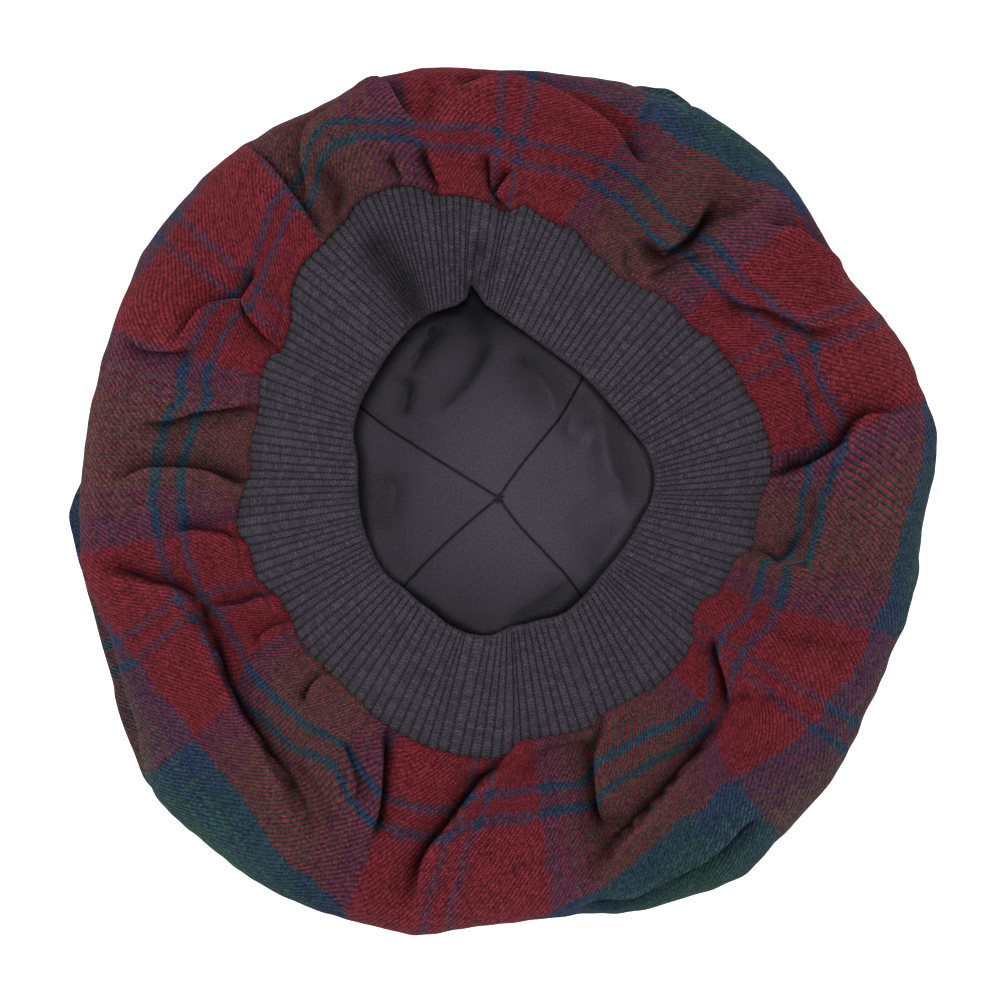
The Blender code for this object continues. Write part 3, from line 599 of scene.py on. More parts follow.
CREASE_DARK = 0.66                  # light lost at the bottom of a deep crease
CREASE_WIDTH = 1.5                  # width of that dark line, mm
UNDER_DARK = 0.22                   # light lost beside it, on the lower side
CREST_LIGHT = 0.14                  # light gained along a fold's crest
CREST_OUT = 1.2                     # how far the crest lies past the folded-over width, mm
CREST_WIDTH = 1.5                   # mm
DARK_DEPTH = 6.0                    # a fold this deep, in mm, has its full painted shade and light
HANG_REACH = 6.0                    # how far back a fold's upper side is drawn along, mm
HANG_ENDS = (-0.05, 0.35)           # shares of a fold over which its overhang grows
FOLD_WIDTHS = 2.6                   # a fold is reckoned out to this many of its widths
FOLD_MARGIN = 9.0                   # and this many mm more
BAND_EASE = 9.0 * MM                # folds die out over this distance to the band


def add_folds(points, normals, weight):
    """Push the folds into the crown, and hang their upper sides over the creases.
    Gives the points and their shade."""
    push = np.zeros(points.shape[:2])
    shade = np.ones(points.shape[:2])
    slide = np.zeros(points.shape[:2] + (2,))
    x, y = points[..., 0], points[..., 1]
    for _, depth, w_over, w_under, shoulder, overhang, *plan in FOLDS:
        line = fold_line(plan)
        reach = (FOLD_WIDTHS * max(w_over, w_under) + FOLD_MARGIN) * MM
        low, high = line.min(axis=0) - reach, line.max(axis=0) + reach
        close = ((x > low[0]) & (x < high[0]) & (y > low[1]) & (y < high[1])
                 & (weight > 0.0))
        d, share, to_left = beside_line(x[close], y[close], line)
        over = np.maximum(d, 0.0)
        lower = depth * np.exp(-(np.maximum(-d, 0.0) / w_under) ** 1.4)
        if overhang > 0.0:
            rise = smooth_step(over, 0.0, w_over)
            past = np.maximum(over - w_over, 0.0)
            swell = np.exp(-((past - CREST_OUT) / (1.6 * w_over + 2.4)) ** 2)
            upper = depth * (1.0 - rise) - shoulder * rise * swell
            hang = rise * np.exp(-(past / HANG_REACH) ** 2) * (overhang + w_over)
            seen = np.maximum(-d - 0.8 * overhang, 0.0)
            dark = np.where(d < 0.0, np.exp(-(seen / CREASE_WIDTH) ** 1.2), 1.0 - rise)
            crest = np.exp(-((past - CREST_OUT) / CREST_WIDTH) ** 2) * rise
        else:
            upper = depth * np.exp(-(over / w_over) ** 1.6)
            hang = 0.0 * over
            width = np.where(d > 0.0, w_over, w_under)
            dark = 0.5 * np.exp(-(np.abs(d) / (0.45 * width)) ** 1.5)
            crest = 0.0 * over
        ends = end_fade(line, share)
        push[close] += np.where(d >= 0.0, upper, lower) * ends * MM
        strong = min(1.0, depth / DARK_DEPTH) * ends
        soft = UNDER_DARK * np.where(d >= 0.0, 0.0, lower / depth)
        light = (1.0 - CREASE_DARK * dark * strong) * (1.0 - soft * strong)
        shade[close] *= light * (1.0 + CREST_LIGHT * crest * strong)
        hang = hang * ends * both_ends(share, *HANG_ENDS)
        slide[close] -= to_left * (hang * MM)[:, None]
    out = np.hypot(x, y) - around(SEAM, ANGLES) * MM
    push *= smooth_step(out, 0.0, BAND_EASE)
    points = points - normals * (push * weight)[..., None]
    points[..., :2] += slide * weight[..., None]
    return points, 1.0 + (shade - 1.0) * smooth_step(weight, 0.0, 0.5)


AT_BAND = 6.0 * MM                  # a fold that ends nearer to the band runs into it
FOLD_ENDS = (-0.02, 0.25)           # shares of a fold over which it grows at an end
GATHER_WAVES = (29, 37, 43, 52, 61)
GATHER_SEED = 21
GATHER_HEIGHT = 0.34 * MM
GATHER_REACH = (1.0 * MM, 15.0 * MM)    # distances from the band, over which they fade


def end_fade(line, share):
    """1 along a fold, fading at its ends, except where it runs into the band."""
    fade = np.ones(share.shape)
    for end, part in ((line[0], share), (line[-1], 1.0 - share)):
        angle = math.degrees(math.atan2(end[1], end[0]))
        if math.hypot(*end) > float(around(SEAM, [angle])[0]) * MM + AT_BAND:
            fade = fade * smooth_step(part, *FOLD_ENDS)
    return fade


def gathers(angles, radius, seam):
    """Small puckers where the cloth is eased into the band."""
    near = 1.0 - smooth_step(radius - seam, *GATHER_REACH)
    rng = np.random.default_rng(GATHER_SEED)
    turn = np.radians(angles)
    height = np.zeros(len(angles))
    for count in GATHER_WAVES:
        height += np.sin(count * turn + rng.uniform(0.0, 2.0 * math.pi))
    strength = 0.6 + 0.4 * np.sin(5 * turn + 1.0) * np.sin(7 * turn)
    return GATHER_HEIGHT * height * strength * near


# Degrees on either side over which the ring pair's wobble and the red's stretch are
# evened out.
PAIR_CALM = 5.0
STRETCH_CALM = 2.0
CALM_FROM = (2.0 * MM, 12.0 * MM)   # distances outside the pair over which it turns calm
HIDDEN_RED = 3.0 * MM               # how far under the rim a hidden red edge lies at least
HIDING_SEAM = 2                     # the gore seam, and the pair after it
PATTERN_GRID = (60.0, 152.0, 0.5)   # radii on which the pattern is looked up, mm


def outward(radius, values):
    """A column's radii and values from the band outwards, where the radius grows."""
    radius, values = radius[::-1], values[::-1]
    keep = np.concatenate([[True], np.diff(np.maximum.accumulate(radius)) > 0.0])
    return radius[keep], values[keep]


def pattern_rows(radius, height, rim_row):
    """Distance outwards across the pattern's rings, in metres, for every point."""
    step = np.hypot(np.diff(radius, axis=0), np.diff(height, axis=0))
    run = np.concatenate([np.zeros((1, len(ANGLES))), np.cumsum(step, axis=0)])
    middle = around(RING_PAIR, ANGLES) * MM
    spacing = around(RING_PAIR, ANGLES, 2) * MM
    red = around([row for row in RED_RING if row[1] > 0.0], ANGLES) * MM
    shows = np.interp(ANGLES, [row[0] for row in RED_RING] + [360.0],
                      [float(row[1] > 0.0) for row in RED_RING] + [1.0]) > 0.5
    stretch = np.ones(len(ANGLES))
    anchors = []
    natural = RED_EDGE - PAIR_LINE
    for j in range(len(ANGLES)):
        top_r, top_s = outward(radius[rim_row:, j], run[rim_row:, j])
        s_out = np.interp(middle[j] + 0.5 * spacing[j], top_r, top_s)
        s_in = np.interp(middle[j] - 0.5 * spacing[j], top_r, top_s)
        if shows[j]:
            stretch[j] = (s_out - np.interp(red[j], top_r, top_s)) / natural
        else:
            stretch[j] = max(1.0, (s_out - run[rim_row, j] + HIDDEN_RED) / natural)
        anchors.append((s_out, s_in))
    stretch = even_round(stretch[:, None], round(STRETCH_CALM / COLUMN_STEP))[:, 0]
    out_in = np.array(anchors)
    calm = even_round(out_in, round(PAIR_CALM / COLUMN_STEP))
    across = np.zeros_like(run)
    for j in range(len(ANGLES)):
        versions = []
        for s_out, s_in in (out_in[j], calm[j]):
            s_red = s_out - natural * stretch[j]
            versions.append(np.interp(
                run[:, j], [s_red - 1.0, s_red, s_out, s_in, s_in + 1.0],
                [RED_EDGE + 1.0, RED_EDGE, PAIR_LINE, -PAIR_LINE, -PAIR_LINE - 1.0]))
        away = smooth_step(out_in[j, 0] - run[:, j], *CALM_FROM)
        across[:, j] = versions[0] * (1.0 - away) + versions[1] * away
    return across


def even_round(rows, width):
    """Running mean, over 2 * width + 1 columns, of values around the hat."""
    wide = np.concatenate([rows[-width:], rows, rows[:width]])
    total = np.cumsum(np.concatenate([np.zeros_like(wide[:1]), wide]), axis=0)
    return (total[2 * width + 1:] - total[:-2 * width - 1]) / (2 * width + 1)


def pair_distance(k, radius, angles):
    """Distance along the rings from the middle of the k-th pair of cross lines."""
    at = np.clip(radius, CROSS_RADII[0], CROSS_RADII[2])
    start, centre, stop = (np.interp(at, CROSS_RADII, [row[n] for row in CROSS_PAIRS[k]])
                           for n in range(3))
    turn = (angles - centre + 180.0) % 360.0 - 180.0
    arc = np.radians(np.abs(turn)) * radius
    red = np.radians(np.where(turn > 0.0, stop - centre, centre - start)) * radius
    ease = np.radians(stop - start) * radius / (2.0 * RED_EDGE)
    inside = arc / ease + (RED_EDGE - red / ease) * (arc / red) ** 2
    outside = RED_EDGE + (arc - red) / ease
    return np.sign(turn) * np.where(arc < red, inside, outside) + k * REPEAT


def pair_of_cells():
    """Which pair of cross lines each column's cell belongs to.  The change lies in the
    plain green between two pairs, and once at a seam that hides the navy beside it."""
    middle = (ANGLES + 0.5 * COLUMN_STEP) % 360.0
    starts = []
    for k, rows in enumerate(CROSS_PAIRS):
        low = sum(row[2] for row in CROSS_PAIRS[k - 1]) / 3.0 - (360.0 if k == 0 else 0.0)
        high = sum(row[0] for row in rows) / 3.0
        starts.append(0.5 * (low + high) % 360.0)
    starts[HIDING_SEAM] = GORE_SEAMS[HIDING_SEAM]
    pairs = np.zeros(len(ANGLES), int)
    for k, start in enumerate(starts):
        end = starts[(k + 1) % len(starts)]
        pairs[(middle - start) % 360.0 < (end - start) % 360.0] = k
    return pairs


def pattern_columns(points, radius, rim_row):
    """Distance along the rings for the corners on the left and on the right side of
    every cell.  It is taken where the folded cloth lies, seen from above."""
    pairs = pair_of_cells()
    angles = bearing(points[..., 0], points[..., 1])
    reach = np.hypot(points[..., 0], points[..., 1])
    sides = []
    for cells in (pairs, np.roll(pairs, 1)):
        along = np.zeros(radius.shape)
        for k in range(len(CROSS_PAIRS)):
            mine = cells == k
            along[:, mine] = pair_distance(k, reach[:, mine], angles[:, mine])
        # under the rim the threads keep their width, so each panel narrows to its tip
        start = cells * REPEAT
        narrow = radius[:rim_row] / radius[rim_row]
        along[:rim_row] = start + (along[rim_row] - start) * narrow
        sides.append(along)
    return sides


def pattern_shift(points, radius, across, rim_row):
    """Change of the pattern across the rings where folds have moved the cloth."""
    grid = np.arange(*PATTERN_GRID) * MM
    table = np.zeros((len(grid), len(ANGLES)))
    for j in range(len(ANGLES)):
        table[:, j] = np.interp(grid, *outward(radius[rim_row:, j], across[rim_row:, j]))
    values = []
    moved = np.hypot(points[..., 0], points[..., 1])
    turned = bearing(points[..., 0], points[..., 1])
    for reach, angles in ((moved, turned), (radius, np.broadcast_to(ANGLES, radius.shape))):
        row = np.clip((reach - grid[0]) / (grid[1] - grid[0]), 0.0, len(grid) - 1.001)
        column = angles / COLUMN_STEP
        i, j = row.astype(int), column.astype(int) % len(ANGLES)
        n = (j + 1) % len(ANGLES)
        t, q = row - i, column - np.floor(column)
        low = table[i, j] * (1.0 - q) + table[i, n] * q
        high = table[i + 1, j] * (1.0 - q) + table[i + 1, n] * q
        values.append(low * (1.0 - t) + high * t)
    shift = values[0] - values[1]
    shift[:rim_row] = 0.0
    return shift


def corner_uv(right, left, across, columns, flip=False):
    """Pattern places of the corners of grid_triangles over some of the columns."""
    first, second = columns[:-1], columns[1:]
    a = np.stack([right[:-1, first], across[:-1, first]], axis=-1)
    b = np.stack([left[:-1, second], across[:-1, second]], axis=-1)
    c = np.stack([left[1:, second], across[1:, second]], axis=-1)
    d = np.stack([right[1:, first], across[1:, first]], axis=-1)
    corners = np.stack([a, b, c, a, c, d], axis=2).reshape(-1, 3, 2)
    return corners[:, ::-1] if flip else corners


# Seeded unevenness of the crown's cloth: length in mm, seed, and height in mm.
CROWN_WAVES = ((24, 3, 0.35), (9, 5, 0.14))
ROLL_EASE = 4                       # rows before the rolled edge where folds start to die out
RIM_KEPT = 4                        # rows under the rim that folds and waves still reach
SOFT_ROWS = (10, 5)                 # from this far under the rim to this far from the end


def crown_surface():
    """The folded crown: points, shade, inner face, and the pattern's places."""
    radius, height, rim_row = crown_base()
    rows = len(radius)
    base = polar(radius, ANGLES, height)
    normals = grid_normals(base)
    across = pattern_rows(radius, height, rim_row)
    roll = sum(CROWN_ROWS[-4:]) + ROLL_EASE
    weight = smooth_step(base[..., 2], *FOLD_FADE)
    weight[:rim_row - RIM_KEPT] = 0.0
    ease = np.ones(rows)
    ease[-roll - 1:] = np.linspace(1.0, 0.0, roll + 1)
    weight *= ease[:, None]
    rim = around(OUTLINE, ANGLES) * MM
    weight_in = weight * smooth_step(rim - radius, *RIM_FADE)
    points, shade = add_folds(base, normals, weight_in)
    uneven = uneven_cloth(base[..., 0], base[..., 1], CROWN_WAVES)
    uneven += gathers(ANGLES, radius, around(SEAM, ANGLES) * MM)
    points += normals * (uneven * weight)[..., None]
    points = soften(points, slice(rim_row - SOFT_ROWS[0], rows - SOFT_ROWS[1]), 2)
    right, left = pattern_columns(points, radius, rim_row)
    across += pattern_shift(points, radius, across, rim_row)
    return points, shade, points - normals * CLOTH, (right, left, across)


def make_crown(material):
    points, shade, inside, (right, left, across) = crown_surface()
    back_rows = back_rows_of(len(points))
    back_pattern = [grid[back_rows] for grid in (right, left, across)]
    for k, seam in enumerate(GORE_SEAMS):
        after = GORE_SEAMS[(k + 1) % len(GORE_SEAMS)]
        after += 360.0 if after < seam else 0.0
        columns = np.arange(round(seam / COLUMN_STEP), round(after / COLUMN_STEP) + 1)
        columns %= len(ANGLES)
        faces, walls = sheet_triangles(len(points), len(columns), back_rows)
        flat = np.stack([right[:, columns], across[:, columns]], axis=-1)
        corners = np.concatenate([corner_uv(right, left, across, columns),
                                  corner_uv(*back_pattern, columns, True),
                                  front_and_back(flat, flat, back_rows)[walls]])
        mine = shade[:, columns]
        piece = build(f"crown_cloth_{k + 1}",
                      front_and_back(points[:, columns], inside[:, columns], back_rows),
                      faces, material, corners / MM, len(walls), [GORES[k]],
                      front_and_back(mine, mine, back_rows))


# ---- band ------------------------------------------------------------------------
RIB_COLUMNS = 8
BAND_ROWS = 46
BAND_BACK_ROWS = 7
BAND_BACK_TOP = 0.9                 # where the plain back begins, share of the way to the mouth
BAND_BULGE = 2.2 * MM
BAND_TUCK = 3.4                     # how far the sewn edge lies under the crown, mm
RIB_HEIGHT = 0.85 * MM
RIB_GROOVE = 0.14                   # half the width of the groove between ribs, in ribs
# The rounded hem: where it begins, its length, and rings on the face's side and the back's.
HEM_START = 0.965
HEM_LENGTH = 0.035
HEM_RINGS = 8
HEM_BACK_RINGS = 4
HEM_RIB = 0.7                       # height of the ribs on the hem's edge
DENT_DARK = 0.05                    # light lost for each mm of a dent's depth
# Dents in the band: name, depth and widths on either side in mm, and a plan line from
# the sewn edge to the mouth.
BAND_DENTS = (
    ("valley", 6.5, 3.5, 5, (-44, 88), (-39, 80), (-33, 73), (-28, 60)),
    ("valley_wide", 2.5, 12, 9, (-44, 88), (-39, 80), (-33, 73), (-28, 60)),
    ("notch", 4.0, 2.4, 2.4, (-11, 67), (-9.5, 72), (-8, 77), (-7, 84)),
    ("notch_ridge", -1.8, 1.1, 1.1, (-12, 70), (-9, 74), (-5, 78)),
    ("notch_crease_right", 2.2, 1.3, 1.3, (-8, 69), (-5, 73), (-1, 77)),
    ("notch_crease_left", 1.5, 1.2, 1.2, (-13, 70), (-15, 76), (-15, 82)),
)


def rib_seam_angles(places):
    """Angle at the sewn edge of a place counted in ribs."""
    count = np.concatenate([[0.0], np.cumsum(RIB_DENSITY)])
    count *= RIB_COUNT / count[-1]
    edge = np.arange(len(count)) * RIB_SECTOR
    wide_count = np.concatenate([count[-3:-1] - RIB_COUNT, count, count[1:3] + RIB_COUNT])
    wide_edge = np.concatenate([edge[-3:-1] - 360.0, edge, edge[1:3] + 360.0])
    return curve(wide_count, wide_edge, places)


def band_section():
    """Round the band's section, from the sewn edge over the face, round the hem and
    back: share of the way to the mouth, side of the middle plane, height of the ribs."""
    steps = [(s, 1.0, 1.0) for s in np.linspace(0.0, HEM_START, BAND_ROWS - HEM_RINGS)]
    for t in np.linspace(0.15, 1.0, HEM_RINGS):
        steps.append((HEM_START + HEM_LENGTH * math.sin(t * math.pi / 2),
                      math.cos(t * math.pi / 2), 1.0 - (1.0 - HEM_RIB) * t))
    for t in np.linspace(0.25, 1.0, HEM_BACK_RINGS):
        steps.append((HEM_START + HEM_LENGTH * math.cos(t * math.pi / 2),
                      -math.sin(t * math.pi / 2), HEM_RIB * (1.0 - t)))
    return steps + [(s, -1.0, 0.0) for s in np.linspace(BAND_BACK_TOP, 0.0, BAND_BACK_ROWS)]


def make_band(material):
    places = np.arange(RIB_COUNT * RIB_COLUMNS) / RIB_COLUMNS
    start = rib_seam_angles(places)
    stop = start + around(RIB_TURN, start)
    sewn = polar((around(SEAM, start) + BAND_TUCK) * MM, start,
                 height_curve("seam_z", start) - BAND_TUCK * MM)
    folded = polar(around(MOUTH, stop) * MM, stop, height_curve("mouth_z", stop))
    run = folded - sewn
    length = np.linalg.norm(run, axis=-1)
    along = run / length[:, None]
    middle = 0.5 * (sewn + folded)
    off = np.cross(np.roll(middle, -4, axis=0) - np.roll(middle, 4, axis=0), along)
    off /= np.linalg.norm(off, axis=-1, keepdims=True)
    off *= np.sign(off[:, 2:3])
    phase = places % 1.0
    rib = 0.5 - np.exp(-(np.minimum(phase, 1.0 - phase) / RIB_GROOVE) ** 2)
    half = BAND_THICK * 0.5
    steps = band_section()
    rings = []
    for s, side, ribbed in steps:
        bulge = BAND_BULGE * math.sin(math.pi * s)
        rings.append(sewn + run * s
                     + off * (bulge + half * side + rib * RIB_HEIGHT * ribbed)[:, None])
    reach = np.array([s for s, _, _ in steps])[:, None]
    points, shade = band_dents(np.stack(rings), reach)
    rows, columns = points.shape[:2]
    last = (rows - 1) * columns
    j = np.arange(columns)
    n = (j + 1) % columns
    close = np.stack([last + j, last + n, n, last + j, n, j], axis=-1).reshape(-1, 3)
    faces = np.concatenate([grid_triangles(rows, columns, closed=True), close])
    distance = reach * length[None, :]
    flat_uv = np.stack([np.broadcast_to(places, distance.shape), distance / MM], axis=-1)
    corner = flat_uv.reshape(-1, 2)[faces]
    wrapped = corner[..., 0].max(axis=1) - corner[..., 0].min(axis=1) > RIB_COUNT / 2
    corner[..., 0] += (wrapped[:, None] & (corner[..., 0] < RIB_COUNT / 2)) * RIB_COUNT
    piece = build("knit_band", points.reshape(-1, 3), faces, material, corner,
                  nodes=["rib_band"], shade=shade.ravel())


def band_dents(points, reach):
    """The band's points with its dents pressed in, and their shade."""
    drop = np.zeros(points.shape[:2])
    shade = np.ones(points.shape[:2])
    for _, depth, w_left, w_right, *plan in BAND_DENTS:
        d, run, _ = beside_line(points[..., 0], points[..., 1], fold_line(plan))
        near = bell(d, w_left, w_right) * smooth_step(reach, 0.0, 0.5)
        near *= smooth_step(run, -0.1, 0.25) * smooth_step(1.0 - run, -0.3, 0.25)
        drop += depth * MM * near
        shade *= 1.0 - DENT_DARK * depth * near
    points[..., 2] -= drop
    return points, shade


# ---- lining ----------------------------------------------------------------------
LINING_COLUMNS = 150                # in each of the four panels
# Width of the painted shadow on the lining under the band's hem: angle, mm.
HEM_SHADE = ((5, 0.8), (25, 1.0), (50, 1.6), (70, 0.8), (92, 1.5), (110, 2.8), (140, 2.8),
             (160, 3.0), (185, 2.6), (200, 1.2), (218, 1.2), (232, 2.4), (250, 2.2),
             (265, 0.6), (285, 1.2), (305, 2.4), (330, 2.8), (350, 2.2))
HEM_DARK = 0.85                     # light lost there
# (share of rim radius, height in mm), then (outside the seam, above the sewn edge).
LINING_LOW = ((0.40, 1.9), (0.70, 1.9), (0.82, 6.0), (0.87, 15.0), (0.80, 27.0))
LINING_TUCK = ((4.0, -12.0), (2.0, -6.6))
LINING_ROWS = (64, 16, 8, 6, 8, 8, 5)
LINING_ROUND = 1.1 * MM             # rounding of a panel's edge at its seam
LINING_PUFF = 0.9 * MM              # height of a panel's middle over its seams
LINING_REST = 5.0 * MM              # the face's height over the lining's base
LINING_DEEPEST = 3.2 * MM           # no crease goes deeper
LINING_SEAM = 0.5 * MM              # half the width of the painted shade along a seam
LINING_SEAM_DARK = 0.55             # light lost in it
LINING_WAVES = ((30, 11, 0.6), (11, 12, 0.12))
LINING_CREASE_GAIN = 1.3            # all creases are deepened by this
LINING_ENDS = (0.0, 0.3)            # creases fade out over this share at both ends
LINING_EVEN = 0.35                  # share of a panel's columns that are evenly spaced
LINING_RIM = 138.0                  # a first guess of the panel's radii: the rim's, and
LINING_EDGE = [86.0, 84.0]          # those under the band, in mm
LINING_HIGH = (8 * MM, 20 * MM)     # heights over which its waves and creases die out
LINING_SHIFT = (30 * MM, 90 * MM)   # radii over which its centre gives way to the hat's
LINING_TIP = 4.0 * MM               # the seams' rounding grows over this from the centre
LINING_FALL = 9 * MM                # and a panel's middle rises over this from its seams
# Where the lining bulges up: middle, reach and height in mm.
LINING_BULGES = (((-20, 48), 22, 9), ((52, 12), 18, 6), ((8, -50), 16, 4))
# Its creases: depth, widths on the left and on the right, and plan points, in mm.
LINING_CREASES = (
    ("upper", 3.4, 6, 2, (-3.1, 56.7), (-4.7, 48), (-9.6, 38.8), (-17.1, 30.7),
     (-23.6, 26.4)),
    ("upper_left", 2.6, 2, 4.5, (-29.6, 41), (-31.8, 33), (-33.4, 26)),
    ("upper_rim", 2.2, 2, 3.5, (-17.1, 58.9), (-23.6, 54.6), (-28.5, 46.8), (-31.2, 39.4)),
    ("upper_right", 2.6, 2.5, 6, (4, 50), (9, 44), (14, 37), (17, 28)),
    ("right_puff", 2.0, 3, 3, (22.9, 29.5), (22, 23), (29.4, 19)),
    ("right", 3.0, 2, 6, (32.7, 30), (33.8, 14.4), (38.1, 5.8), (43, -4)),
    ("right_low", 2.0, 2, 5, (43.5, -4), (34, -17), (27, -27)),
    ("bottom", 2.0, 2, 5, (23, -25), (14, -32.5), (1, -40)),
    ("bottom_left", 1.2, 2, 5, (-32, -30), (-24, -38), (-12, -44)),
    ("left", 1.8, 3.5, 4, (-36.5, 10), (-35.5, 1.4), (-37.7, -9)),
)
# Painted shade where the lining leans away from the light: share of light lost, how
# far it reaches on the left and on the right of the way along the points, and the
# points.  In mm.
LINING_PAINTED_SHADE = (
    ("upper", 0.34, 1.2, 6, (-3.1, 59), (-3.6, 50.7), (-6.3, 44.8), (-11.2, 37.7),
     (-18.8, 30.7), (-24.7, 27.4)),
    ("notch", 0.35, 4, 4, (-9, 65), (-7.8, 59), (-6.4, 52)),
    ("upper_right", 0.42, 6, 1.2, (3, 48), (12.7, 41), (17, 34.5), (19, 26)),
    ("seam_end", 0.34, 6, 6, (26, 38), (28, 21)),
    ("right", 0.52, 10, 1.2, (32.5, 38), (33.8, 26.9), (35.4, 16.1), (38.7, 5.2), (44, -9)),
    ("bottom", 0.5, 7, 1.2, (26, -22), (17, -29.4), (10.5, -33.8), (-1, -41)),
    ("left", 0.32, 2, 7, (-36.1, 13), (-37.7, 0.9), (-37.5, -13)),
    ("upper_left", 0.3, 1.2, 3, (-29, 43), (-31.8, 34.5), (-34, 25)),
    ("upper_rim", 0.3, 3, 1.5, (-17.1, 58.3), (-22, 52.9), (-28.5, 46)),
)
# Angle of each seam round the lining's centre, at some distances from it in mm.
LINING_REACHES = (0, 10, 20, 31, 42, 60)
LINING_LINES = (
    (60, 56, 53.7, 52.3, 54.6, 57),
    (148, 148.3, 148.3, 148.2, 148.1, 146),
    (216, 218.5, 220, 221.5, 222.8, 223),
    (303, 306.5, 309.8, 311.2, 310, 310),
)


def lining_base(share, reach, first, second):
    """One smooth panel: rows from the centre to the band, columns from one seam to
    the next.  share is 0 to 1 over the columns, reach a first guess of the radii."""
    border = [np.interp(reach, np.array(LINING_REACHES) * MM, LINING_LINES[k])
              for k in (first, second)]
    border[1] = border[1] + (360.0 if second == 0 else 0.0)
    angles = border[0][:, None] + (border[1] - border[0])[:, None] * share
    outline = around(OUTLINE, angles) * MM
    seam = around(SEAM, angles) * MM
    seam_z = height_curve("seam_z", angles)
    knots = np.concatenate([[0.0], np.cumsum(LINING_ROWS)])
    radii = [np.full(angles.shape, CENTRE_HOLE)]
    radii += [outline * part for part, _ in LINING_LOW]
    radii += [seam + out * MM for out, _ in LINING_TUCK]
    heights = [np.full(angles.shape, LINING_LOW[0][1] * MM)]
    heights += [np.full(angles.shape, up * MM) for _, up in LINING_LOW]
    heights += [seam_z + up * MM for _, up in LINING_TUCK]
    rows = np.arange(knots[-1] + 1)
    grid = []
    for values in (radii, heights):
        values = np.stack(values)
        spread = np.zeros(angles.shape)
        for i in range(len(rows)):
            spread[i] = curve(knots, values[:, i], rows[i:i + 1])[0]
        grid.append(spread)
    points = polar(grid[0], angles, grid[1])
    shift = 1.0 - smooth_step(grid[0], *LINING_SHIFT)
    points[..., 0] += LINING_CENTRE[0] * shift
    points[..., 1] += LINING_CENTRE[1] * shift
    return points, angles, border


def lining_lift(x, y):
    """Height of the lining's waves and creases over its smooth surface, and the shade
    painted on it along creases and under the band's hem.
    """
    shade = np.ones(x.shape)
    lift = uneven_cloth(x, y, LINING_WAVES)
    for _, depth, w_left, w_right, *plan in LINING_CREASES:
        d, share, _ = beside_line(x, y, fold_line(plan))
        shape = bell(d, w_left, w_right, 1.5)
        lift -= LINING_CREASE_GAIN * depth * MM * shape * both_ends(share, *LINING_ENDS)
    # painted shade where the lining leans away from the light
    for _, lost, w_left, w_right, *plan in LINING_PAINTED_SHADE:
        d, share, _ = beside_line(x, y, fold_line(plan))
        shade *= 1.0 - lost * both_ends(share, *LINING_ENDS) * bell(d, w_left, w_right)
    for (middle_x, middle_y), size, rise in LINING_BULGES:
        far = np.hypot(x - middle_x * MM, y - middle_y * MM) / (size * MM)
        lift += rise * MM * np.exp(-far ** 2)
    # painted shadow on the lining under the band's hem
    gap = around(MOUTH, bearing(x, y)) - np.hypot(x, y) / MM
    width = around(HEM_SHADE, bearing(x, y))
    shade *= 1.0 - HEM_DARK * np.exp(-(np.maximum(gap, 0.0) / width) ** 2.5)
    return np.maximum(lift, -LINING_DEEPEST), shade


def make_lining(material):
    rows = sum(LINING_ROWS) + 1
    knots = np.concatenate([[0.0], np.cumsum(LINING_ROWS)])
    guess = [0.0] + [LINING_RIM * part for part, _ in LINING_LOW] + LINING_EDGE
    reach = curve(knots, np.array(guess) * MM, np.arange(rows))
    even = np.linspace(0.0, 1.0, LINING_COLUMNS + 1)
    share = (LINING_EVEN * even
             + (1.0 - LINING_EVEN) * (0.5 - 0.5 * np.cos(math.pi * even)))
    back_rows = back_rows_of(rows)
    for k in range(len(LINING_LINES)):
        points, angles, border = lining_base(share, reach, k, (k + 1) % len(LINING_LINES))
        across = np.roll(points, -1, axis=1) - np.roll(points, 1, axis=1)
        across[:, 0] = points[:, 1] - points[:, 0]
        across[:, -1] = points[:, -1] - points[:, -2]
        normals = np.cross(np.gradient(points, axis=0), across)
        normals /= np.linalg.norm(normals, axis=-1, keepdims=True) + 1e-15
        lift, shade = lining_lift(points[..., 0], points[..., 1])
        wide = np.radians(border[1] - border[0])[:, None] * reach[:, None]
        edge = np.minimum(share, 1.0 - share) * wide
        q = np.clip(edge / np.minimum(LINING_ROUND, 0.2 * wide + 1e-6), 0.0, 1.0)
        rounding = LINING_ROUND * (np.sqrt(1.0 - (1.0 - q) ** 2) - 1.0)
        rounding *= smooth_step(reach, 0.0, LINING_TIP)[:, None]
        rounding += LINING_PUFF * (smooth_step(edge, 0.0, LINING_FALL) - 1.0)
        # painted shade along the panel's seams
        shade *= 1.0 - LINING_SEAM_DARK * np.exp(-(edge / LINING_SEAM) ** 2)
        low = 1.0 - smooth_step(points[..., 2], *LINING_HIGH)
        face = points + normals * (LINING_CLOTH + (lift + rounding + LINING_REST) * low)[..., None]
        # the front is seen from above, so its triangles are turned over
        faces, walls = sheet_triangles(rows, LINING_COLUMNS + 1, back_rows, flip=True)
        turn = np.radians(angles - 0.5 * (border[0] + border[1])[:, None])
        flat = np.stack([reach[:, None] * np.sin(turn), reach[:, None] * np.cos(turn)], axis=-1)
        corners = front_and_back(flat, flat, back_rows)[faces]
        piece = build(f"lining_cloth_{k + 1}",
                      front_and_back(face, face - normals * LINING_CLOTH, back_rows), faces,
                      material, corners / MM, len(walls),
                      [f"lining_panel_{k + 1}"], front_and_back(shade, shade, back_rows))


# ---- tack ------------------------------------------------------------------------
# Strands of the knot: bearing, reach in tack radii, height in mm.
STRANDS = ((20, 1.3, 0.0), (75, 1.15, 0.25), (140, 1.3, 0.1), (108, 0.9, 0.4))
STRAND_STEPS = 13
STRAND_SIDES = 8
STRAND_RADIUS = 0.34 * MM
STRAND_ARCH = 0.55                  # height of a strand's middle over its ends, mm


